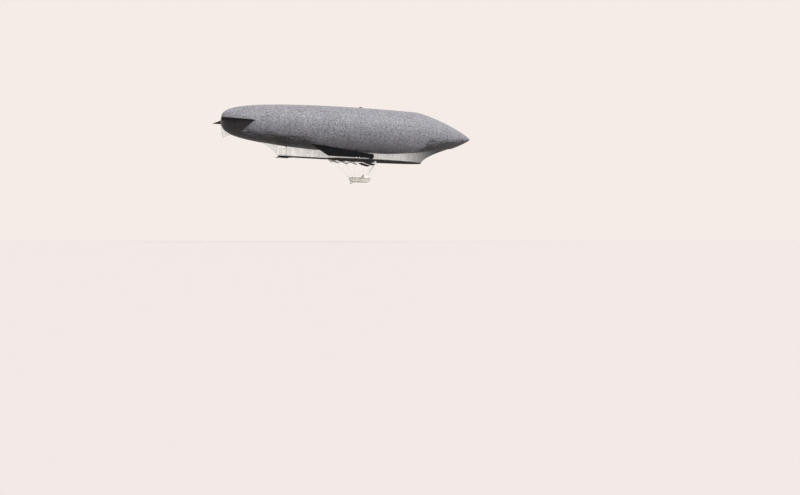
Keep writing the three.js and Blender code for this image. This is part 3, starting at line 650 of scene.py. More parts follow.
def make_girdle():
    """The band of doubled cloth round the lower hull that the suspension ropes are toggled to."""
    band, toggles = Parts(), Parts()
    places = spread(-10.6, 9.4, 80)
    low, high = GIRDLE - 0.016, GIRDLE + 0.016
    edges = [(low, 0.001), (low, 0.009), (high, 0.009), (high, 0.001)]
    half_toggle = X_AXIS * 0.05
    for side in SIDES.values():
        band.rings([[mirrored(on_hull(x, turn, clear), side) for turn, clear in edges] for x in places])
        for x in places[::2]:
            middle = mirrored(on_hull(x, GIRDLE, 0.012), side)
            toggles.tube([middle - half_toggle, middle + half_toggle], 0.009, 8)
    make_piece("girdle_band", band, [cotton_bag])
    make_piece("girdle_toggles", toggles, [ash])


def make_gas_valve():
    """The valve on the back of the gas bag: a turned seat, a sprung disc and a ring of screws."""
    low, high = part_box("gas_valve")
    x, top = (low.x + high.x) / 2, high.z
    parts = Parts()
    seat = [
        (low.z, 0.175), (top - 0.02, 0.175), (top - 0.014, 0.168), (top - 0.012, 0.135), (top - 0.02, 0.13),
        (top - 0.02, 0.0),
    ]
    disc = [(top - 0.02, 0.12), (top - 0.008, 0.115), (top - 0.004, 0.02), (top, 0.0)]
    parts.lathe((x, 0, 0), Z_AXIS, seat, 32, 1)
    parts.lathe((x, 0, 0), Z_AXIS, disc, 32)
    for turn in turns(12):
        spot = (x + 0.152 * math.cos(turn), 0.152 * math.sin(turn), 0)
        parts.lathe(spot, Z_AXIS, [(top - 0.016, 0.006), (top - 0.009, 0.005), (top - 0.008, 0.0)], 8)
    for turn in turns(4, ahead=0.5):
        arm = Vector((math.cos(turn), math.sin(turn), 0))
        centre = Vector((x, 0, top - 0.003))
        parts.tube([centre, centre + arm * 0.14 - Z_AXIS * 0.008], 0.004, 6)
    make_piece("sprung_gas_valve", parts, [cast_aluminium, dark_tube], replaces=["gas_valve"])


# Cloth planes stretched over ribs. A station runs along a plane, and a share goes across it.

def ribbed(spacing, start, thin, thick):
    """Half the thickness of a covered plane: thick at its ribs, hollow between, thin at its edges."""
    def half(station, share):
        rib = abs(math.cos(math.pi * (station - start) / spacing)) ** 3
        edge = min(share, 1 - share) * 12
        return thin + (thick - thin) * (0.35 + 0.65 * rib) * min(edge, 1)
    return half


def constant(value):
    """A measure of a cloth plane that is the same all over it."""
    return lambda *place: value


def upright(x, across, out):
    """A point of an upright plane along the middle line: its height, and how far out to port it is."""
    return Vector((x, out, across))


flat = constant(0.0)


def make_tail_fins():
    """Level fins of black canvas on steel edge tubes, with ribs over the cloth and wire bracing."""
    rear, corner, root = -15.7, -12.55, -12.15
    pole, out_rear, out_front = -15.29, 2.35, 2.2
    rib_spacing = 0.46
    for name, side in SIDES.items():
        def inner(x):
            if x > HULL_TAIL:
                return hull_radius(x) + 0.002
            return 0.012 + max(pole - x, 0) / (pole - rear) * (out_rear - 0.02)

        def outer(x):
            if x > corner:
                share = (x - corner) / (root - corner)
                return out_front + (hull_radius(root) - out_front) * share + 0.003
            return out_rear + (out_front - out_rear) * (x - rear) / (corner - rear)

        def place(x, across, out):
            return Vector((x, side * across, out))

        parts = Parts()
        stations = (spread(rear + 0.002, -15.0, 14) + spread(-15.0, corner, 40)[1:]
                    + spread(corner, root - 0.002, 12)[1:])
        parts.panel(stations, inner, outer, 14, place, flat, ribbed(rib_spacing, rear, 0.003, 0.0095))
        edge = [place(root, outer(root), 0), place(corner, out_front, 0),
                place(rear + 0.008, out_rear - 0.004, 0), place(pole, 0.03, 0)]
        parts.tube(edge, 0.0098, 10, 1)
        parts.ribs(spread(rear + rib_spacing, corner, 6), inner, outer, place, 0.008, 0.003,
                   inset=(0.01, 0.0), finish=1)
        make_piece(f"covered_tail_fin_{name}", parts, [dark_canvas, dark_tube],
                   replaces=[f"tail_fin_{name}"])

        wires = Parts()
        for x in (-14.9, -14.0, -13.1):
            for up in (1, -1):
                start = mirrored(on_hull(x, up * math.radians(34)), side)
                for end in (x - 0.1, x + 0.35):
                    wires.tube([start, place(end, outer(end) - 0.02, up * 0.01)], 0.0025, 5)
        make_piece(f"tail_fin_bracing_{name}", wires, [rope])


def make_lower_fin():
    """The small upright fin under the tail, of pale cloth in a steel frame."""
    tip_x, tip_z, front_x, front_z = -15.1, -1.75, -14.25, -1.3
    pole_x, rear_x, heel_x = -15.28, -15.27, tip_x - 0.06

    def low(x):
        if x < heel_x:
            return -0.02 + (tip_z + 0.02) * (x - pole_x) / (heel_x - pole_x)
        if x < tip_x:
            return tip_z
        return tip_z + (front_z - tip_z) * (x - tip_x) / (front_x - tip_x)

    def high(x):
        return -(hull_radius(x) + 0.002) if x > HULL_TAIL else -0.02

    parts = Parts()
    stations = [rear_x, -15.255] + spread(HULL_TAIL, heel_x, 4) + spread(tip_x, front_x, 20)
    stations = [x for x in stations if low(x) < high(x) - 0.02]
    parts.panel(stations, low, high, 10, upright, flat, ribbed(0.28, tip_x, 0.003, 0.0095))
    edge = [(rear_x, 0, low(rear_x)), (heel_x, 0, tip_z), (tip_x, 0, tip_z), (front_x, 0, front_z)]
    parts.tube(edge, 0.0098, 10, 1)
    parts.ribs(spread(tip_x + 0.25, front_x - 0.1, 2), low, high, upright, 0.009, 0.003, finish=1)
    make_piece("covered_tail_fin_lower", parts, [pale_cloth, dark_tube],
               replaces=["tail_fin_lower"])


# The keel cloths between the gas bag and the platform

DECK_TOP = -3.26
DECK_REAR, DECK_FRONT, DECK_HALF = -3.65, 8.3, 1.5
DECK_CENTRE = (DECK_REAR + DECK_FRONT) / 2
RIM_BOTTOM = -3.33


def deck_half_width(x):
    """Half the width of the oval platform."""
    reach = (x - DECK_CENTRE) / ((DECK_FRONT - DECK_REAR) / 2)
    return DECK_HALF * math.sqrt(max(1 - reach ** 2, 0))


def keel_top(x):
    """Height of the gas bag's underside over the keel, just above the cloth."""
    radius = hull_radius(x)
    return -min(radius, belly_depth(x)) - 0.002


deck_line = constant(DECK_TOP + 0.001)


def curved_edge(start, bend, end):
    """Points of a concave cloth edge from start to end, pulled towards bend, as (x, z)."""
    return [
        [(1 - t) ** 2 * a + 2 * t * (1 - t) * b + t * t * c for a, b, c in zip(start, bend, end)]
        for t in spread(0.0, 1.0, 24)
    ]


def height_on(edge, x):
    """Height of a curved edge at x, by straight lines between its points."""
    for (x0, z0), (x1, z1) in zip(edge, edge[1:]):
        if min(x0, x1) <= x <= max(x0, x1) and x0 != x1:
            return z0 + (z1 - z0) * (x - x0) / (x1 - x0)
    return edge[0][1] if abs(x - edge[0][0]) < abs(x - edge[-1][0]) else edge[-1][1]


def make_keel_cloth(name, rear, front, low, battens, finish):
    """One upright cloth of the keel: a sheet laced to the hull above and to the frame below."""
    def billow(x, share):
        return 0.004 * math.sin(math.pi * share) * math.cos(math.tau * x / 0.9)

    parts = Parts()
    stations = spread(rear, front, max(int((front - rear) / 0.06), 8))
    stations = [x for x in stations if low(x) < keel_top(x) - 0.01]
    parts.panel(stations, low, keel_top, 10, upright, billow, constant(0.002))
    cloth = make_piece(f"{name}_cloth", parts, [finish], replaces=[name])

    fittings = Parts()
    fittings.ribs(battens, low, keel_top, upright, 0.0055, 0.0028, inset=(0.005, 0.005))
    make_piece(f"{name}_battens", fittings, [ash])


def make_keel():
    """Four cloths: three over the beam and platform and one that closes the keel to the tail."""
    tail_foot = -9.33
    front_edge = curved_edge((DECK_FRONT, DECK_TOP), (8.75, -2.45), (11.9, -1.42))
    tail_edge = curved_edge((tail_foot, DECK_TOP), (-9.6, -2.6), (-11.25, -1.96))

    def front_low(x):
        return deck_line(x) if x < DECK_FRONT else height_on(front_edge, x)

    def tail_low(x):
        return height_on(tail_edge, x) if x < tail_foot else deck_line(x)

    make_keel_cloth("keel_rear", -7.5, 1.53, deck_line, spread(-6.9, 1.0, 13), pale_cloth)
    make_keel_cloth("keel_middle", 1.5426, 5.64, deck_line, spread(2.1, 5.2, 5), grey_cloth)
    make_keel_cloth("keel_front", 5.6403, 11.85, front_low, spread(6.1, 9.4, 5), grey_cloth)
    make_keel_cloth("keel_tail", -11.2, -9.25, tail_low, spread(-10.2, -9.5, 2), pale_cloth)

    rope_parts = Parts()
    for edge in (front_edge, tail_edge):
        rope_parts.tube([(x, 0.0, z) for x, z in edge], 0.006, 8)
    make_piece("keel_edge_ropes", rope_parts, [rope])


# The fireproof screens

SCREEN_SIDE = 1.33
SCREEN_FRONT, SCREEN_LOW_REAR, SCREEN_HIGH_REAR = 1.53, -3.95, -6.15
SCREEN_BOTTOM, SCREEN_TOP_FRONT, SCREEN_TOP_REAR = -3.175, -2.7, -1.9
SCREEN_POSTS = [-0.3, 0.6, 1.45]
screen_half = constant(0.003)  # half the thickness of the cloth


def screen_top(x):
    """Top of a side screen: a slanted line in front, and the side of the gas bag behind."""
    share = (x - SCREEN_HIGH_REAR) / (SCREEN_FRONT - SCREEN_HIGH_REAR)
    line = SCREEN_TOP_REAR + (SCREEN_TOP_FRONT - SCREEN_TOP_REAR) * share
    return min(-math.sqrt(hull_radius(x) ** 2 - SCREEN_SIDE ** 2) - 0.006, line)


def screen_foot(x):
    """Foot of a side screen: level in front, and rising behind to the screen's rear corner."""
    if x > SCREEN_LOW_REAR:
        return SCREEN_BOTTOM
    share = (x - SCREEN_LOW_REAR) / (SCREEN_HIGH_REAR - SCREEN_LOW_REAR)
    return SCREEN_BOTTOM + share * (SCREEN_TOP_REAR - SCREEN_BOTTOM)


def screen_stations(steps):
    """Stations along a side screen, as far as its top lies above its foot."""
    stations = spread(SCREEN_HIGH_REAR, SCREEN_FRONT, steps)
    return [x for x in stations if screen_foot(x) < screen_top(x) - 0.01]


def make_side_screens():
    """The blackened fireproof cloths to both sides that keep engine sparks off the gas bag."""
    def billow(x, share):
        return 0.006 * math.sin(math.pi * share) * math.sin(math.tau * x / 1.2)

    foot_plate = [(0, 0.018), (0.004, 0.018), (0.007, 0.006)]
    for name, side in SIDES.items():
        def place(x, across, out):
            return Vector((x, side * (SCREEN_SIDE + out), across))

        posts = Parts()
        for x in SCREEN_POSTS:
            foot = place(x, DECK_TOP + 0.0005, 0)
            posts.tube([foot, place(x, SCREEN_BOTTOM + 0.012, 0)], 0.0058, 12)
            posts.lathe(foot, Z_AXIS, foot_plate, 14)
        hem = screen_stations(40)
        posts.tube([place(x, screen_foot(x) + 0.006, 0) for x in hem], 0.0056, 8)
        posts.tube([place(x, screen_top(x) - 0.006, 0) for x in hem], 0.0056, 8)
        make_piece(f"screen_frame_{name}", posts, [dark_tube])

        parts = Parts()
        parts.panel(screen_stations(120), screen_foot, screen_top, 10, place, billow, screen_half)
        cloth = make_piece(f"screen_cloth_{name}", parts, [dark_canvas],
                           replaces=[f"screen_{name}"])


def make_front_screen():
    """The cloth across the front ends of the two side screens."""
    def place(y, across, out):
        return Vector((SCREEN_FRONT + 0.0063 + out, y, across))

    parts = Parts()
    parts.panel(spread(-1.335, 1.335, 40), constant(SCREEN_BOTTOM), constant(SCREEN_TOP_FRONT), 8, place,
                flat, screen_half)
    cloth = make_piece("screen_cloth_front", parts, [dark_canvas], replaces=["screen_front"])


make_gas_bag()
make_girdle()
make_gas_valve()
make_tail_fins()
make_lower_fin()
make_keel()
make_side_screens()
make_front_screen()

# The platform and the tail beam

CROSS_TUBES = [-2.7, -1.45, -0.1, 1.25, 2.15, 3.3, 4.55, 5.8, 7.05]
CROSS_TUBE_HEIGHT = -3.3
# The hole in the deck for the air duct: its middle, and half its length and width
DUCT_THROUGH = (2.492, 0.243)
DUCT_COLLAR = (0.15, 0.128)


def oval_point(turn, inset, z):
    """A point at a turn round the platform's oval, moved inwards by inset."""
    half_length = (DECK_FRONT - DECK_REAR) / 2 - inset
    return Vector((DECK_CENTRE + half_length * math.cos(turn), (DECK_HALF - inset) * math.sin(turn), z))


def make_deck():
    """The canvas stretched over the platform, with a collar where the air duct passes."""
    def sag(x, y):
        nearest = min(abs(x - tube) for tube in CROSS_TUBES)
        return -0.003 * min(nearest / 0.5, 1) * max(1 - (y / DECK_HALF) ** 2, 0)

    parts = Parts()
    across = 36
    stations = spread(DECK_REAR + 0.02, DECK_FRONT - 0.02, 170)
    corners, faces = [], []
    for top in (DECK_TOP - 0.0005, DECK_TOP - 0.0045):
        for x in stations:
            half = deck_half_width(x) - 0.012
            row = [half * (2 * j / across - 1) for j in range(across + 1)]
            corners += [(x, y, top + sag(x, y)) for y in row]
    layer = len(stations) * (across + 1)
    for i in range(len(stations) - 1):
        for j in range(across):
            quad = [i * (across + 1) + j, (i + 1) * (across + 1) + j,
                    (i + 1) * (across + 1) + j + 1, i * (across + 1) + j + 1]
            middle = sum((Vector(corners[k]) for k in quad), Vector()) / 4
            away = Vector(((middle.x - DUCT_THROUGH[0]) / DUCT_COLLAR[0],
                           (middle.y - DUCT_THROUGH[1]) / DUCT_COLLAR[1]))
            if away.length > 1:
                faces += [quad, [layer + k for k in reversed(quad)]]
    rim = [i * (across + 1) for i in range(len(stations))]
    edge = rim + [k + across for k in reversed(rim)]
    faces += [[a, b, layer + b, layer + a] for a, b in zip(edge, edge[1:])]
    parts.add(corners, faces)
    cloth = make_piece("deck_canvas", parts, [dark_canvas], replaces=["platform_deck"])

    trim = Parts()
    for z in (DECK_TOP + 0.001, DECK_TOP - 0.006):
        trim.rings([
            [(DUCT_THROUGH[0] + DUCT_COLLAR[0] * grow * math.cos(turn),
              DUCT_THROUGH[1] + DUCT_COLLAR[1] * grow * math.sin(turn), z) for turn in turns(40)]
            for grow in (0.94, 1.35)
        ], capped=False)
    above, below = DECK_TOP - 0.0002, DECK_TOP - 0.0065
    for x in CROSS_TUBES:
        half = deck_half_width(x) - 0.03
        seam = [(x - 0.02, above), (x + 0.02, above), (x + 0.02, below), (x - 0.02, below)]
        trim.rings([[(along, y, z) for along, z in seam] for y in (-half, half)])
    make_piece("deck_collar_and_seams", trim, [dark_canvas])

    lacing = Parts()
    zigzag = [oval_point(turn, 0.036 if k % 2 else 0.008, DECK_TOP + 0.0015)
              for k, turn in enumerate(turns(240))]
    lacing.tube(zigzag, 0.0022, 5, closed=True)
    make_piece("deck_lacing", lacing, [rope])


def rope_eye(centre, along, radius):
    """Points of an upright ring in line with a direction, for a rope to be tied to."""
    return circle(centre, along, Z_AXIS, radius, 10)


def make_platform_fittings():
    """Clamps where the cross tubes meet the rim, and the eyes that the hull's ropes are tied to."""
    rim_clamp = [(0, 0.0145), (0.004, 0.021), (0.06, 0.021), (0.064, 0.0145)]
    middle_clamp = [(0, 0.0145), (0.004, 0.022), (0.066, 0.022), (0.07, 0.0145)]
    clamps = Parts()
    for x in CROSS_TUBES:
        for side in SIDES.values():
            y = side * (deck_half_width(x) - 0.045)
            clamps.lathe((x, y - side * 0.05, CROSS_TUBE_HEIGHT), (0, side, 0), rim_clamp, 16)
            strap = y + side * 0.008
            clamps.block((x - 0.03, strap - 0.002, CROSS_TUBE_HEIGHT - 0.026),
                         (x + 0.03, strap + 0.002, CROSS_TUBE_HEIGHT + 0.026))
        clamps.lathe((x - 0.035, 0, CROSS_TUBE_HEIGHT), X_AXIS, middle_clamp, 16)
    eye_height = -3.285
    for turn in turns(72):
        eye = oval_point(turn, -0.001, eye_height)
        along_rim = oval_point(turn + 0.01, 0, eye_height) - oval_point(turn - 0.01, 0, eye_height)
        clamps.tube(rope_eye(eye, along_rim.normalized(), 0.011), 0.003, 6, closed=True)
    make_piece("platform_clamps_and_eyes", clamps, [dark_tube])
    finish_node("platform_frame", dark_tube)


BEAM_REAR, BEAM_FRONT = -9.2, -3.6503
BEAM_TOP, BEAM_BOTTOM, BEAM_HALF = -3.272, -3.4, 0.11
BEAM_BAYS = 8


def make_beam_details():
    """Sleeves at the joints of the tail beam and the crossed wires that stiffen its bays."""
    finish_node("tail_beam", dark_tube)
    sleeves, wires = Parts(), Parts()
    joints = spread(BEAM_REAR + 0.012, BEAM_FRONT - 0.012, BEAM_BAYS)
    top, port, starboard = (0, BEAM_TOP), (BEAM_HALF, BEAM_BOTTOM), (-BEAM_HALF, BEAM_BOTTOM)
    for x in joints:
        rear, front = max(x - 0.045, BEAM_REAR), min(x + 0.045, BEAM_FRONT)
        for chord in (top, port, starboard):
            sleeves.tube([(rear, *chord), (front, *chord)], 0.0155, 12)
    for rear, front in zip(joints, joints[1:]):
        for first, second in ((top, port), (top, starboard), (port, starboard)):
            wires.tube([(rear, *first), (front, *second)], 0.0025, 5)
            wires.tube([(rear, *second), (front, *first)], 0.0025, 5)
    make_piece("beam_sleeves", sleeves, [dark_tube])
    make_piece("beam_wires", wires, [rope])


def make_beam_cloth():
    """The strips of dark canvas laced between the upper and lower tubes of the beam."""
    low, high = constant(BEAM_BOTTOM - 0.004), constant(BEAM_TOP - 0.012)
    parts = Parts()
    for side in (1, -1):
        def place(x, across, out):
            lean = (BEAM_TOP - across) / (BEAM_TOP - BEAM_BOTTOM)
            return Vector((x, side * (0.006 + (BEAM_HALF - 0.006) * min(lean, 1) + 0.009 + out), across))

        parts.panel(spread(BEAM_REAR + 0.03, BEAM_FRONT - 0.03, 90), low, high, 4, place, flat,
                    constant(0.002))
    cloth = make_piece("beam_cloth", parts, [dark_canvas])


def make_beam_planes():
    """Level canvas planes to either side of the beam's end."""
    corner, front = -7.65, -7.5
    root, reach, rear_reach = BEAM_HALF + 0.0125, 0.42, 1.15

    def outer(x):
        if x > corner:
            return reach + (root - reach) * (x - corner) / (front - corner)
        return reach + (rear_reach - reach) * (corner - x) / (corner - BEAM_REAR)

    stations = spread(BEAM_REAR, corner, 40) + spread(corner, front - 0.005, 6)[1:]
    for name, side in SIDES.items():
        def place(x, across, out):
            return Vector((x, side * across, BEAM_BOTTOM + out))

        parts = Parts()
        parts.panel(stations, constant(root), outer, 10, place, flat,
                    ribbed(0.31, BEAM_REAR, 0.003, 0.0095))
        edge = [place(front, root, 0), place(corner, reach - 0.01, 0),
                place(BEAM_REAR + 0.01, rear_reach - 0.01, 0), place(BEAM_REAR + 0.01, root, 0)]
        parts.tube(edge, 0.0095, 10, 1)
        parts.ribs(spread(-8.89, -7.96, 3), constant(root), outer, place, 0.0085, 0.0018, finish=1)
        make_piece(f"covered_beam_plane_{name}", parts, [dark_canvas, dark_tube],
                   replaces=[f"beam_plane_{name}"])


def make_beam_fin():
    """The small upright fin under the beam's end."""
    rear, corner, front = -8.85, -8.15, -7.952
    top, depth = BEAM_BOTTOM - 0.0083, 0.12

    def foot(x):
        return top - depth + (depth - 0.0005) * max(x - corner, 0.0) / 0.2

    parts = Parts()
    parts.panel(spread(rear, corner, 16) + spread(corner, front, 6)[1:], foot, constant(top), 6, upright,
                flat, ribbed(0.175, rear, 0.003, 0.0065))
    edge = [(front - 0.003, 0, top - 0.004), (corner, 0, top - depth + 0.005),
            (rear + 0.005, 0, top - depth + 0.005), (rear + 0.005, 0, top)]
    parts.tube(edge, 0.0065, 8, 1)
    make_piece("covered_beam_fin", parts, [dark_canvas, dark_tube], replaces=["beam_fin"])


# The steering planes

RUDDER_POST = -8.3
RUDDER_REAR, RUDDER_FRONT = -9.1, -7.6
POST_FOOT, POST_HEAD = -3.2595, -2.3705
TILLER_HEIGHT = -3.236
TILLER_HALF = 0.32


def make_rudder():
    """The balanced rudder: pale cloth over a tube frame on a post, with a tiller at its foot."""
    foot, top, fall, inset = -3.215, -2.4, 0.06, 0.008
    rear, front = RUDDER_REAR + inset, RUDDER_FRONT - inset

    def high(x):
        return top - fall * (RUDDER_FRONT - x) / (RUDDER_FRONT - RUDDER_REAR)

    parts = Parts()
    parts.panel(spread(RUDDER_REAR, RUDDER_FRONT, 60), constant(foot), high, 16, upright, flat,
                ribbed(0.3, RUDDER_REAR, 0.002, 0.0076))
    edge = [(rear, 0, foot + inset), (front, 0, foot + inset), (front, 0, high(front) - inset),
            (rear, 0, high(rear) - inset)]
    parts.tube(edge, 0.0078, 10, 1, closed=True)
    parts.tube([(RUDDER_POST, 0, POST_FOOT), (RUDDER_POST, 0, POST_HEAD)], 0.014, 14, 1)
    parts.tube([(RUDDER_POST, -TILLER_HALF, TILLER_HEIGHT), (RUDDER_POST, TILLER_HALF, TILLER_HEIGHT)],
               0.0078, 10, 1)
    parts.ribs((-8.8, -8.5, -7.9), constant(foot), high, upright, 0.0068, 0.0014,
               inset=(0.01, 0.01), sides=5, finish=1)
    # An eye at each end of the tiller, and a brace from there to the frame
    for side in SIDES.values():
        eye = Vector((RUDDER_POST, side * (TILLER_HALF - 0.008), TILLER_HEIGHT))
        parts.tube(rope_eye(eye, X_AXIS, 0.012), 0.003, 6, 1, closed=True)
        parts.tube([eye, (RUDDER_POST + 0.52, side * 0.009, -3.2)], 0.003, 6, 1)
    make_piece("covered_rudder", parts, [pale_cloth, dark_tube], body="rudder",
               replaces=["rudder"])
    finish_node("rudder_bracket", dark_tube)


ELEVATOR_SHAFT, SHAFT_HEIGHT = 1.25, -3.7
ELEVATOR_REAR, ELEVATOR_FRONT = 0.65, 1.85
ELEVATOR_TILT = math.radians(15)  # at rest the leading edge hangs


def make_elevator():
    """The level planes on a shaft under the platform that steer the airship up and down."""
    half_chord = ELEVATOR_FRONT - ELEVATOR_SHAFT

    def outer(x):
        return 1.29 - 0.12 * abs(x - ELEVATOR_SHAFT) / half_chord

    def inner(x):
        return 0.15 + 0.06 * abs(x - ELEVATOR_SHAFT) / half_chord

    rear, front = ELEVATOR_REAR + 0.007, ELEVATOR_FRONT - 0.007
    parts = Parts()
    for side in SIDES.values():
        def place(x, across, out):
            ahead = x - ELEVATOR_SHAFT
            along = ahead * math.cos(ELEVATOR_TILT) + out * math.sin(ELEVATOR_TILT)
            up = out * math.cos(ELEVATOR_TILT) - ahead * math.sin(ELEVATOR_TILT)
            return Vector((ELEVATOR_SHAFT + along, side * across, SHAFT_HEIGHT + up))

        parts.panel(spread(ELEVATOR_REAR, ELEVATOR_FRONT, 48), inner, outer, 14, place, flat,
                    ribbed(0.3, ELEVATOR_REAR, 0.002, 0.0066))
        edge = [
            place(rear, inner(ELEVATOR_REAR), 0), place(rear, outer(ELEVATOR_REAR) - 0.006, 0),
            place(ELEVATOR_SHAFT, 1.283, 0),
            place(front, outer(ELEVATOR_FRONT) - 0.006, 0), place(front, inner(ELEVATOR_FRONT), 0),
            place(ELEVATOR_SHAFT, 0.157, 0),
        ]
        parts.tube(edge, 0.0068, 10, 1, closed=True)
        parts.ribs((0.95, 1.55), inner, outer, place, 0.0056, 0.0013, sides=5, finish=1)
        # King posts over the shaft, each with a wire to the leading and the trailing edge
        for y in (0.45, 0.95):
            foot, head = place(ELEVATOR_SHAFT, y, 0.0), place(ELEVATOR_SHAFT, y, 0.11)
            parts.tube([foot, head, place(ELEVATOR_SHAFT - 0.05, y, 0.0)], 0.004, 6, 1)
            for end in (ELEVATOR_FRONT - 0.05, ELEVATOR_REAR + 0.05):
                parts.tube([head, place(end, y, 0.006)], 0.002, 5, 1)
    shaft = [(ELEVATOR_SHAFT, y, SHAFT_HEIGHT) for y in (-1.3245, 1.3245)]
    parts.tube(shaft, 0.012, 14, 1)
    make_piece("covered_elevator", parts, [dark_canvas, dark_tube], body="elevator",
               replaces=["elevator"])


def make_hangers():
    """Shaft caps, bolts and two braces on each of the hangers that carry the elevator."""
    fittings = Parts()
    for name, side in SIDES.items():
        finish_node(f"elevator_hanger_{name}", dark_tube)
        cap = Vector((ELEVATOR_SHAFT, side * 1.3449, SHAFT_HEIGHT))
        fittings.lathe(cap, (0, side, 0), [(0, 0.02), (0.008, 0.02), (0.012, 0.016), (0.014, 0.0)], 16)
        for rise in (0.03, 0.37):
            fittings.lathe(cap + Z_AXIS * rise, (0, side, 0), [(0, 0.008), (0.006, 0.008), (0.007, 0.0)], 6)
        for way in (1, -1):
            fittings.tube([(ELEVATOR_SHAFT + way * 0.02, side * 1.335, -3.62),
                           (ELEVATOR_SHAFT + way * 0.3, side * 1.335, -3.33)], 0.007, 8)
    make_piece("elevator_hanger_fittings", fittings, [dark_tube])


make_deck()
make_platform_fittings()
make_beam_details()
make_beam_cloth()
make_beam_planes()
make_beam_fin()
make_rudder()
make_elevator()
make_hangers()

# Stays and other rigging

# Station of each stay's top end on the platform and of its bottom end on the car
STAYS = [[-3.4, -0.88], [-2.3, -0.55], [-0.9, -0.37], [0.45, 0.6], [2.2, 1.56]]
STAY_TOP = -3.3303
STAY_BOTTOM = -5.3464
# How far each stay's bridle reaches along the rim, to the rear and to the front
BRIDLE_REACH = [[-0.05, 1.1], [-1.0, 1.1], [-1.1, 1.1], [-1.1, 0.45], [-0.1, 0.4]]
BRIDLE_SPACING = 0.06
BRIDLE_SHARE = 0.18  # of the way down the stay

# The car seen from above: its middle, half its length and width, and how full its ends are
CAR_MIDDLE = 0.4
CAR_HALF, CAR_HALF_WIDTH = 1.35, 0.375
CAR_FULLNESS = 2.4


def car_half_beam(x):
    """Half the car's width at its rim."""
    return CAR_HALF_WIDTH * (1 - min(abs(x - CAR_MIDDLE) / CAR_HALF, 1.0) ** CAR_FULLNESS)


def stay_ends(stay, side):
    """The two ends of a stay, with the top one first."""
    top, bottom = stay
    return (Vector((top, side * (deck_half_width(top) - 0.02), STAY_TOP)),
            Vector((bottom, side * max(car_half_beam(bottom) - 0.006, 0.004), STAY_BOTTOM)))


# A spliced eye, its splice served with twine over 90 mm
SPLICE = [(0.004, 0.0), (0.004, 0.009), (0.02, 0.013), (0.035, 0.008), (0.125, 0.006), (0.13, 0.0)]
# A forked end, and a barrel between two screws
TURNBUCKLE = [
    (0.002, 0.0), (0.002, 0.009), (0.018, 0.009), (0.02, 0.005), (0.05, 0.005), (0.052, 0.01),
    (0.06, 0.012), (0.12, 0.012), (0.128, 0.01), (0.13, 0.005), (0.16, 0.005), (0.162, 0.0),
]


def make_stay_fittings():
    """A spliced eye at the top of each stay and a turnbuckle at its bottom end."""
    parts = Parts()
    for side in SIDES.values():
        for stay in STAYS:
            top, bottom = stay_ends(stay, side)
            down = (bottom - top).normalized()
            parts.lathe(top, down, SPLICE, 10)
            parts.lathe(bottom, -down, TURNBUCKLE, 10)
    make_piece("stay_fittings", parts, [bright_steel])
    for side in SIDES:
        for number in range(1, len(STAYS) + 1):
            finish_node(f"stay_{side}_{number}", rope)


def make_bridles():
    """Fans of thin ropes that spread the pull of each stay along the platform's rim."""
    knot_profile = [(-0.02, 0.0), (-0.016, 0.012), (0.0, 0.016), (0.016, 0.012), (0.02, 0.0)]
    parts = Parts()
    for side in SIDES.values():
        for stay, (rear, front) in zip(STAYS, BRIDLE_REACH):
            top, bottom = stay_ends(stay, side)
            knot = top.lerp(bottom, BRIDLE_SHARE)
            steps = round((front - rear) / BRIDLE_SPACING)
            for x in spread(top.x + rear, top.x + front, steps):
                reach = max(x, DECK_REAR + 0.06)
                half = max(deck_half_width(reach) - 0.012, 0.0)
                eye = Vector((reach, side * half, RIM_BOTTOM + 0.004))
                # Ropes of 3 mm, drawn at 9 mm so that they show
                parts.tube([eye, knot], 0.0045, 5)
            parts.lathe(knot, bottom - top, knot_profile, 10)
    make_piece("stay_bridles", parts, [dark_cord])


def make_patch(parts, x, turn, side):
    """A round patch cemented to the gas bag, where a rope's strands are sewn in."""
    centre = mirrored(on_hull(x, turn), side)
    outward = mirrored(on_hull(x, turn, 0.1), side) - centre
    rim = [(-0.004, 0.0), (-0.004, 0.07), (0.003, 0.07), (0.008, 0.05), (0.008, 0.0)]
    parts.lathe(centre, outward, rim, 20)


def make_suspension():
    """Ropes from the girdle's toggles to the rim, and from patches on the belly to the beam."""
    ropes, patches = Parts(), Parts()
    leads = [(x, GIRDLE, deck_half_width(x) - 0.01, RIM_BOTTOM + 0.06) for x in spread(1.9, 7.9, 12)]
    leads += [(x, BEAM_LEADS, BEAM_HALF - 0.012, BEAM_TOP) for x in [-9.17, *spread(-7.2, -4.2, 6)]]
    for side in SIDES.values():
        for x, turn, half, height in leads:
            start = mirrored(on_hull(x, turn, 0.006), side)
            end = Vector((x, side * half, height))
            ropes.tube([start, end], 0.004, 6)
            ropes.lathe(end, start - end, [(-0.004, 0.0), (0.0, 0.01), (0.03, 0.01), (0.05, 0.0)], 8)
            if turn == BEAM_LEADS:
                make_patch(patches, x, turn, side)
    make_piece("suspension_ropes", ropes, [rope])
    make_piece("rope_patches", patches, [cotton_bag])


# The car

CAR_RIM = -5.375
CAR_DEPTH = 0.415
CAR_FLAT = 0.945  # half the length over which the bottom is level
CAR_RIBS = spread(-0.815, 1.615, 9)
FLOOR_TOP = -5.7657
ON_FLOOR = FLOOR_TOP + 0.0003  # where the machinery stands, a hair above the slats


def car_depth(x):
    """How far the car's bottom lies below its rim: level amidships, rounded up at both ends."""
    past = max(abs(x - CAR_MIDDLE) - CAR_FLAT, 0.0) / (CAR_HALF - CAR_FLAT)
    return CAR_DEPTH * math.sqrt(max(1 - past ** 2, 0.0))


def car_bottom(x):
    """Height of the car's bottom."""
    return CAR_RIM - car_depth(x)


def car_stations(reach, steps):
    """Stations along the car that lie closer together towards the pointed ends."""
    return [CAR_MIDDLE + reach * math.sin(turn) for turn in spread(-math.pi / 2, math.pi / 2, steps)]


def car_point(x, side, height, inset):
    """A point on the side of the car, moved inwards by inset."""
    return Vector((x, side * max(car_half_beam(x) - inset, 0.0012), height))


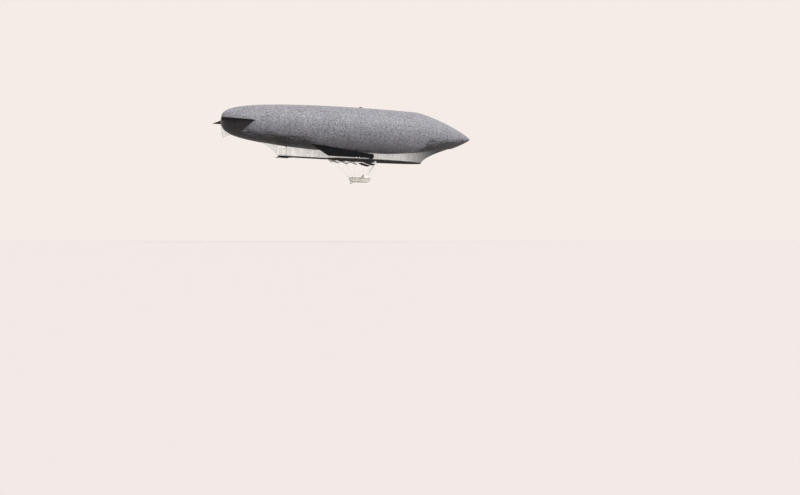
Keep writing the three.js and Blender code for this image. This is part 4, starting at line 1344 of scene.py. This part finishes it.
def drawn_in(x, share):
    """How far the cloth is drawn in between the ribs."""
    rib = (x - CAR_RIBS[0]) / (CAR_RIBS[1] - CAR_RIBS[0])
    return -0.006 * math.sin(math.pi * rib) ** 2 * math.sin(math.pi * share)


half_car_cloth = constant(0.0015)


def make_car_cloth():
    """Cloth stretched over the car's ribs: varnished duck in one strip to each side, and below one strip of
    dark canvas whose darkness is painted shade.
    """
    for name, side in SIDES.items():
        def place(x, height, out):
            return car_point(x, side, height, 0.003 - out)

        parts = Parts()
        parts.panel(car_stations(1.345, 110), constant(CAR_RIM), car_bottom, 12, place, drawn_in,
                    half_car_cloth)
        cloth = make_piece(f"car_cloth_{name}", parts, [car_cloth],
                           replaces=[f"car_side_{name}"])

    def below(x, y, out):
        return Vector((x, y, car_bottom(x) + 0.003 - out))

    def port_edge(x):
        return car_half_beam(x) - 0.012

    def starboard_edge(x):
        return -port_edge(x)

    parts = Parts()
    parts.panel(car_stations(1.335, 110), starboard_edge, port_edge, 14, below, drawn_in, half_car_cloth)
    # The strip below is dark canvas: painted shade under the car
    cloth = make_piece("car_bottom_cloth", parts, [dark_canvas], replaces=["car_bottom"])


def make_car_frame():
    """Ribs, stringers and the rail of the car, and the cord that laces the cloth to it."""
    tubes = Parts()
    corner = 0.05
    for x in CAR_RIBS:
        low, half = car_bottom(x) + 0.011, car_half_beam(x) - 0.011
        rib = [(x, half, CAR_RIM + 0.01), (x, half, low + corner),
               (x, half - corner * 0.3, low + corner * 0.3), (x, half - corner, low)]
        tubes.tube(rib + [(x, -y, z) for x, y, z in rib[::-1]], 0.006, 8)
    stations = car_stations(1.3, 60)
    for side in SIDES.values():
        for share in (0.36, 0.72):
            stringer = [car_point(x, side, CAR_RIM - share * car_depth(x), 0.017) for x in stations]
            tubes.tube(stringer, 0.005, 8)
    tubes.tube([(x, 0, car_bottom(x) + 0.017) for x in stations], 0.006, 8)
    make_piece("car_ribs", tubes, [dark_tube])

    port = [car_point(x, 1, CAR_RIM + 0.0143, 0.006) for x in car_stations(1.336, 60)]
    around = port + [Vector((x, -y, z)) for x, y, z in port[::-1]]
    rail = Parts()
    rail.tube(around, 0.014, 12, closed=True)
    make_piece("car_rail", rail, [dark_tube], replaces=["car_gunwale"])

    lacing = Parts()
    for side in SIDES.values():
        zigzag = [car_point(x, side, CAR_RIM + (0.002 if k % 2 else -0.018), -0.001)
                  for k, x in enumerate(spread(-0.86, 1.66, 126))]
        lacing.tube(zigzag, 0.0018, 5)
    make_piece("car_lacing", lacing, [dark_cord])


def make_car_floor():
    """Ash slats across the car's bottom, with gaps for water to run out, on two bearers."""
    slats = Parts()
    count, reach, gap = 34, 0.918, 0.006
    step = 2 * reach / count
    for k in range(count):
        rear = CAR_MIDDLE - reach + step * k + gap / 2
        front = rear + step - gap
        half = min(car_half_beam(rear), car_half_beam(front)) - 0.018
        slats.block((rear, -half, FLOOR_TOP - 0.009), (front, half, FLOOR_TOP))
    for y in (-0.2, 0.2):
        slats.block((-0.45, y - 0.012, FLOOR_TOP - 0.012), (1.25, y + 0.012, FLOOR_TOP - 0.0092))
    make_piece("floor_slats", slats, [ash], replaces=["car_floor"], bevel=0.0015)


# The middle of the air duct, from the blower up to the gas bag
DUCT_PATH = [(1.12, 0, -5.3997), (1.26, 0.05, -5.15), (2.25, 0.22, -3.75), (2.62, 0.255, -3.0),
             (2.76, 0.26, -2.4303)]
DUCT_RADIUS = 0.11
HOOP_EVERY = 6  # steps of the duct's path


def make_air_duct():
    """The cloth pipe that carries air from the blower up into the gas bag, held open by hoops."""
    path = evenly(smooth_path(DUCT_PATH, 24), 0.028)
    sides = 40
    # The cloth is drawn in between the hoops
    drawn = [0.009 * math.sin(math.pi * k / HOOP_EVERY) ** 2 for k in range(len(path))]
    radii = [DUCT_RADIUS - 0.004 - depth for depth in drawn]
    outer = circles(path, radii, sides)
    inner = circles(path, [radius - 0.003 for radius in radii], sides)
    for ring in outer + inner:
        for corner in ring:
            # The cloth is cut level at both ends
            corner.z = min(max(corner.z, DUCT_PATH[0][2]), DUCT_PATH[-1][2])
    cloth = Parts()
    cloth.rings([[ring[j] for ring in outer] + [ring[j] for ring in inner[::-1]] for j in range(sides)],
                closed=True)
    made = make_piece("air_duct_cloth", cloth, [pale_cloth], replaces=["air_duct"])

    hoops = Parts()
    rings = circles(path, [DUCT_RADIUS - 0.002] * len(path), 32)
    for ring in rings[HOOP_EVERY:-HOOP_EVERY:HOOP_EVERY]:
        hoops.tube(ring, 0.003, 6, closed=True)
    make_piece("air_duct_hoops", hoops, [ash])


make_stay_fittings()
make_bridles()
make_suspension()
make_car_cloth()
make_car_frame()
make_car_floor()

# Machinery in the car

# The port propeller's hub, and the station of the shafts that run out to both hubs
HUB_X, HUB_Y, HUB_Z = 0.12, 1.1, -5.32
SHAFT_X = 0.25
ENGINE_REAR, ENGINE_FRONT, ENGINE_HALF, ENGINE_TOP = -0.3, 0.18, 0.09, -5.42
CYLINDERS = spread(-0.24, 0.12, 3)
# Turned forms: a cylinder's water jacket, a valve in its guide and a bolt
JACKET = [
    (0.0, 0.046), (0.01, 0.046), (0.013, 0.038), (0.024, 0.038), (0.028, 0.047), (0.1, 0.047),
    (0.116, 0.043), (0.126, 0.03), (0.128, 0.0),
]
VALVE = [(0.0, 0.009), (0.01, 0.009), (0.011, 0.005), (0.026, 0.005), (0.027, 0.0)]
BOLT = [(0.0, 0.006), (0.006, 0.006), (0.007, 0.0)]


def make_engine():
    """A four-cylinder engine: cast case, brass water jackets, valve gear and pipes to each side."""
    parts = Parts()
    case, jacket, pipe = 0, 1, 2
    flange_low, flange_top = -5.61, -5.592
    guide_low, rocker_height, valve_head = -5.302, -5.31, -5.284
    port_height, pipe_height = -5.37, -5.392
    parts.block((ENGINE_REAR, -0.066, ON_FLOOR), (ENGINE_FRONT, 0.066, flange_low), case)
    parts.block((ENGINE_REAR, -ENGINE_HALF, flange_low), (ENGINE_FRONT, ENGINE_HALF, flange_top), case)
    parts.block((ENGINE_REAR + 0.006, -0.076, flange_top), (ENGINE_FRONT - 0.006, 0.076, ENGINE_TOP), case)
    for x in CYLINDERS:
        parts.lathe((x, 0, ENGINE_TOP), Z_AXIS, JACKET, 28, jacket)
        for y in (-0.022, 0.022):
            parts.lathe((x, y, guide_low), Z_AXIS, VALVE, 12, pipe)
            # The push rod and the rocker
            rod_top = (x, y * 3.1, rocker_height)
            parts.tube([(x, y * 3.1, ENGINE_TOP - 0.01), rod_top], 0.004, 8, pipe)
            parts.tube([rod_top, (x, y, valve_head)], 0.004, 8, pipe)
        # Gas comes in from a pipe on the port side and burnt gas leaves on the starboard side
        for way, end, radius, finish in ((1, 0.074, 0.012, pipe), (-1, 0.072, 0.014, case)):
            parts.tube([(x, way * 0.035, port_height), (x, way * 0.062, port_height - 0.002),
                        (x, way * end, pipe_height + 0.002)], radius, 12, finish)
        for y in (-0.083, 0.083):
            for bolt_x in (x - 0.03, x + 0.03):
                parts.lathe((bolt_x, y, flange_top), Z_AXIS, BOLT, 6, pipe)
    parts.tube([(x, 0.074, pipe_height) for x in (CYLINDERS[0], CYLINDERS[-1])], 0.011, 12, pipe)
    parts.tube([(0.14, -0.072, pipe_height), (-0.27, -0.072, pipe_height), (-0.285, -0.074, -5.41),
                (-0.285, -0.074, -5.76)], 0.016, 14, case)
    make_piece("engine_machinery", parts, [cast_iron, brass, dark_tube], replaces=["engine"],
               bevel=0.002)


def make_gearbox():
    """The gearbox that turns both propeller shafts, with a bolted lid and bearing covers."""
    parts = Parts()
    rear, front, half, top = 0.1803, 0.31, 0.07, -5.285
    bearing_cover = [(0.0, 0.046), (0.004, 0.046), (0.006, 0.036), (0.008, 0.0)]
    parts.block((rear, -half + 0.006, ON_FLOOR), (front, half - 0.006, top - 0.012))
    parts.block((rear, -half, top - 0.012), (front, half, top))
    for side in SIDES.values():
        parts.lathe((SHAFT_X, side * (half - 0.008), HUB_Z - 0.025), (0, side, 0), bearing_cover, 24)
        web = side * (half - 0.006)
        for z in (-5.45, -5.56, -5.67):
            parts.block((rear + 0.02, web - 0.003, z - 0.006), (front - 0.02, web + 0.003, z + 0.006))
    make_piece("gearbox_casting", parts, [cast_aluminium], replaces=["gearbox"], bevel=0.003)


def make_radiator():
    """A brass radiator: two tanks joined by rows of flat tubes with fins."""
    parts = Parts()
    rear, front, half, top, low = 0.33, 0.4, 0.19, -5.39, ON_FLOOR
    parts.block((rear, -half, top - 0.05), (front, half, top))
    parts.block((rear, -half, low), (front, half, low + 0.045))
    for y in (-half, half - 0.012):
        parts.block((rear, y, low + 0.04), (front, y + 0.012, top - 0.045))
    for y in spread(-half + 0.018, half - 0.018, 44):
        parts.block((rear + 0.008, y - 0.0016, low + 0.04), (front - 0.008, y + 0.0016, top - 0.045))
    for z in spread(low + 0.05, top - 0.055, 40):
        parts.block((rear + 0.012, -half + 0.006, z - 0.0006), (front - 0.012, half - 0.006, z + 0.0006))
    make_piece("radiator_core", parts, [brass], replaces=["radiator"])


def make_fuel_tank():
    """A riveted drum held in a wooden cradle by two straps."""
    drum, cradle = Parts(), Parts()
    rear, radius, z = -0.77, 0.068, -5.6
    drum.lathe((rear, 0, z), X_AXIS, [
        (0.0, 0.0), (0.004, 0.04), (0.008, 0.062), (0.01, radius), (0.2, radius), (0.202, 0.062),
        (0.206, 0.04), (0.21, 0.0),
    ], 40)
    filler = [(0.0, 0.018), (0.012, 0.018), (0.013, 0.022), (0.024, 0.022), (0.026, 0.0)]
    drum.lathe((-0.66, 0, z + radius - 0.004), Z_AXIS, filler, 20)
    for x in (-0.725, -0.605):
        drum.tube(circle(Vector((x, 0, z)), Y_AXIS, Z_AXIS, radius + 0.001, 40), 0.0028, 6, 1, closed=True)
        cradle.block((x - 0.016, -0.05, -5.745), (x + 0.016, 0.05, z - 0.045))
    make_piece("fuel_drum", drum, [brass, dark_tube], replaces=["fuel_tank"])
    make_piece("fuel_drum_cradle", cradle, [ash], bevel=0.002)


def make_blower():
    """The fan that feeds the air duct: a round sheet casing with air holes, on two feet."""
    parts = Parts()
    x, z, half, radius = 1.12, -5.63, 0.06, 0.125
    parts.lathe((x, -half, z), Y_AXIS, [
        (0.012, 0.045), (0.0, 0.05), (0.004, 0.09), (0.006, 0.118), (0.0, 0.12), (0.0, radius),
        (0.006, radius), (0.006, 0.121), (0.114, 0.121), (0.114, radius), (0.12, radius), (0.12, 0.12),
        (0.114, 0.118), (0.116, 0.09), (0.12, 0.05), (0.108, 0.045),
    ], 48)
    rivet = [(0.0, 0.0), (0.001, 0.004), (0.123, 0.004), (0.124, 0.0)]
    for centre in circle(Vector((x, -half - 0.002, z)), X_AXIS, Z_AXIS, 0.122, 12):
        parts.lathe(centre, Y_AXIS, rivet, 6)
    spout = [(0.0, 0.056), (0.1, 0.086), (0.14, 0.093), (0.15, 0.095), (0.1595, 0.095), (0.1597, 0.0)]
    parts.lathe((x, 0, z + 0.07), Z_AXIS, spout, 32)
    for foot in (x - 0.07, x + 0.05):
        parts.block((foot, -half, ON_FLOOR), (foot + 0.02, half, z - 0.09))
    parts.tube([(x, -0.075, z), (x, 0.075, z)], 0.012, 12)
    make_piece("blower_casing", parts, [cast_aluminium], replaces=["blower"])


def make_steering_wheel():
    """The steering wheel on its column."""
    centre = Vector((0.815, 0, -5.19))
    column_x = centre.x + 0.012
    rim, metal = Parts(), Parts()
    rim.tube(circle(centre, Y_AXIS, Z_AXIS, 0.15, 64), 0.009, 12, closed=True)
    for turn in turns(6)[:3]:
        reach = Vector((0, 0.148 * math.cos(turn), 0.148 * math.sin(turn)))
        metal.tube([centre - reach, centre - reach * 0.5, centre + reach * 0.5, centre + reach],
                   [0.0045, 0.006, 0.006, 0.0045], 10)
    hub = [(0.0, 0.0), (0.0, 0.014), (0.006, 0.022), (0.03, 0.022), (0.04, 0.012), (0.04, 0.0)]
    foot = [(0.0, 0.04), (0.008, 0.04), (0.012, 0.016), (0.03, 0.013), (0.03, 0.0)]
    metal.lathe((centre.x - 0.014, 0, centre.z), X_AXIS, hub, 24)
    metal.tube([(column_x, 0, ON_FLOOR), (column_x, 0, centre.z)], 0.011, 14)
    metal.lathe((column_x, 0, ON_FLOOR), Z_AXIS, foot, 20)
    make_piece("steering_wheel_rim", rim, [ash], replaces=["steering_wheel"])
    make_piece("steering_wheel_spokes", metal, [dark_tube])


def make_elevator_lever():
    """The lever that tilts the elevator, between two round-topped cheeks."""
    foot = Vector((0.56, 0.2, ON_FLOOR))
    arc = [(0.06 * math.cos(turn), 0.03 + 0.03 * math.sin(turn)) for turn in spread(0, math.pi, 16)]
    cheek = [(-0.06, 0.0), (0.06, 0.0), *arc]
    parts = Parts()
    for y in (-0.012, 0.007):
        parts.rings([[foot + Vector((x, face, z)) for x, z in cheek] for face in (y, y + 0.005)])
    lever = [foot + Vector(place) for place in ((0, 0, 0.03), (-0.042, 0, 0.24), (-0.06, 0, 0.33))]
    parts.tube(lever, [0.006, 0.0055, 0.0045], 10)
    knob = [(0.0, 0.004), (0.004, 0.012), (0.014, 0.016), (0.024, 0.012), (0.03, 0.0)]
    parts.lathe(foot + Vector((-0.06, 0, 0.315)), (-0.18, 0, 1), knob, 16, 1)
    make_piece("elevator_lever", parts, [bright_steel, ash], replaces=["control_lever"])


def make_exhaust():
    """The exhaust pipe under the car, ending in a gauze drum that holds back sparks."""
    parts = Parts()
    y = -0.06
    pipe = [(-0.44, y, -5.79), (-0.455, y, -5.83), (-0.56, y, -5.905), (-0.76, y, -5.99)]
    collar = [(0.0, 0.04), (0.006, 0.04), (0.008, 0.027), (0.02, 0.026)]
    parts.tube(smooth_path(pipe, 12), 0.026, 20)
    parts.lathe((-0.44, y, -5.7905), -Z_AXIS, collar, 20)
    start, end = Vector((-0.7, y, -5.965)), Vector((-0.84, y, -6.024))
    length = (end - start).length
    parts.lathe(start, end - start, [
        (-0.01, 0.027), (0.0, 0.044), (0.008, 0.044), (0.01, 0.039), (length - 0.01, 0.039),
        (length - 0.008, 0.044), (length, 0.044), (length + 0.004, 0.0),
    ], 28)
    # Two layers of spiral wire make the gauze, drawn coarser than the real 2 mm mesh
    forward = (end - start).normalized()
    across = forward.orthogonal().normalized()
    other = forward.cross(across)
    for rounds in (9, -9):
        spiral = []
        for share in spread(0.0, 1.0, 220):
            turn = math.tau * rounds * share
            outward = across * math.cos(turn) + other * math.sin(turn)
            spiral.append(start + forward * (0.01 + (length - 0.02) * share) + outward * 0.041)
        parts.tube(spiral, 0.0016, 5, 1)
    make_piece("exhaust_pipe", parts, [cast_iron, dark_tube], replaces=["exhaust"])


# Propellers

BLADE_REST = math.radians(20)  # the blades' turn from level at rest
# Distance from the hub, and the leading and trailing edge of the blade there
BLADE = [
    (0.02, -0.016, 0.016), (0.09, -0.018, 0.018), (0.18, -0.026, 0.023), (0.26, -0.046, 0.036),
    (0.33, -0.061, 0.046), (0.41, -0.066, 0.051), (0.48, -0.065, 0.052), (0.54, -0.058, 0.049),
    (0.59, -0.046, 0.043), (0.612, -0.034, 0.034), (0.625, -0.016, 0.018),
]


def make_outrigger(name, side):
    """Two struts and a shaft tube that carry a propeller beside the car."""
    def at(ahead, across, height):
        return Vector((SHAFT_X + ahead, side * across, height))

    bearing = [(0.0, 0.012), (0.003, 0.018), (0.022, 0.018), (0.025, 0.012)]
    shoe = [(-0.004, 0.0), (-0.004, 0.014), (0.012, 0.014), (0.02, 0.008)]
    beam = car_half_beam(SHAFT_X)
    parts = Parts()
    parts.tube([at(0, 0.0703, HUB_Z), at(0, HUB_Y - 0.03, HUB_Z)], 0.012, 16)
    for across in (0.078, beam + 0.04, 0.74):
        parts.lathe(at(0, across, HUB_Z), (0, side, 0), bearing, 20)
    parts.block(at(-0.022, beam - 0.016, CAR_RIM + 0.0286), at(0.022, beam + 0.006, HUB_Z))
    head = at(0, HUB_Y - 0.02, HUB_Z)
    lower_foot = at(0, beam - 0.004, CAR_RIM - CAR_DEPTH * 0.8)
    front_foot = at(0.42, car_half_beam(SHAFT_X + 0.42) + 0.012, CAR_RIM + 0.012)
    for foot in (lower_foot, front_foot):
        strut = [foot, foot.lerp(head, 0.1), foot.lerp(head, 0.9), head]
        parts.tube(strut, [0.006, 0.009, 0.009, 0.007], 12)
        parts.lathe(foot, head - foot, shoe, 14)
    make_piece(f"outrigger_tubes_{name}", parts, [dark_tube], replaces=[f"outrigger_{name}"])


def make_bevel_gears(name, side):
    """The case of the bevel gears that turn the drive from the shaft to the propeller."""
    parts = Parts()
    parts.lathe((SHAFT_X - 0.05, side * HUB_Y, HUB_Z), X_AXIS, [
        (0.0, 0.022), (0.004, 0.03), (0.014, 0.034), (0.02, 0.046), (0.052, 0.048), (0.062, 0.046),
        (0.078, 0.03), (0.088, 0.016), (0.09, 0.0),
    ], 28)
    neck = [(0.0, 0.013), (0.004, 0.028), (0.03, 0.032), (0.05, 0.036)]
    parts.lathe((SHAFT_X, side * (HUB_Y - 0.075), HUB_Z), (0, side, 0), neck, 24)
    screw = [(-0.004, 0.0045), (0.003, 0.0045), (0.004, 0.0)]
    for centre in circle(Vector((SHAFT_X - 0.031, side * HUB_Y, HUB_Z)), Y_AXIS, Z_AXIS, 0.041, 8):
        parts.lathe(centre, -X_AXIS, screw, 6)
    make_piece(f"outrigger_gears_{name}", parts, [cast_aluminium])


def finer(rows, steps):
    """The rows of a table with steps drawn between each two of them."""
    made = [
        tuple(a + (b - a) * k / steps for a, b in zip(row, following))
        for row, following in zip(rows, rows[1:]) for k in range(steps)
    ]
    return made + [rows[-1]]


def blade_section(reach, lead, trail, along, round_hub, side):
    """Points round a blade, from the place on its arm: a thin lens, cambered and set at its pitch."""
    # 25 degrees at 0.45 m from the hub, and steeper nearer to it
    pitch = math.radians(25 + (0.45 - reach) * 34)
    chord = Vector((side * math.sin(pitch), 0, 0)) + round_hub * math.cos(pitch)
    face = along.cross(chord)
    half, middle = (trail - lead) / 2, (trail + lead) / 2
    thick = max(0.0075 - 0.008 * reach, 0.0022)
    return [
        along * reach + chord * (middle + half * math.cos(turn))
        + face * (thick * math.sin(turn) + 0.1 * half * math.sin(turn) ** 2)
        for turn in turns(20)
    ]


def make_propeller(name, side):
    """Two hollow steel blades, twisted along their length, riveted to arms in a clamped hub."""
    centre = Vector((HUB_X, side * HUB_Y, HUB_Z))
    rivet = [(0.0, 0.0), (0.001, 0.004), (0.021, 0.004), (0.022, 0.0)]
    parts = Parts()
    for turn in turns(2):
        reached = turn + side * BLADE_REST
        along = Vector((0, math.cos(reached), math.sin(reached)))
        round_hub = Vector((0, math.sin(reached), -math.cos(reached)))
        sections = [blade_section(*row, along, round_hub, side) for row in finer(BLADE, 4)]
        parts.rings([[centre + corner for corner in section] for section in sections])
        parts.tube([centre, centre + along * 0.2, centre + along * 0.34], [0.015, 0.012, 0.004], 14, 1)
        for reach in spread(0.07, 0.3, 6):
            parts.lathe(centre + along * reach - X_AXIS * 0.011, X_AXIS, rivet, 8, 1)
    parts.lathe(centre - X_AXIS * 0.04, X_AXIS, [
        (0.0, 0.0), (0.001, 0.012), (0.01, 0.014), (0.012, 0.026), (0.02, 0.028), (0.06, 0.028),
        (0.068, 0.026), (0.07, 0.015), (0.0795, 0.014), (0.0797, 0.0),
    ], 28, 1)
    make_piece(f"propeller_blades_{name}", parts, [bright_steel, dark_tube],
               body=f"propeller_{name}", replaces=[f"propeller_{name}"])


make_engine()
make_gearbox()
make_radiator()
make_fuel_tank()
make_blower()
make_air_duct()
make_steering_wheel()
make_elevator_lever()
make_exhaust()
for name, side in SIDES.items():
    make_outrigger(name, side)
    make_bevel_gears(name, side)
    make_propeller(name, side)
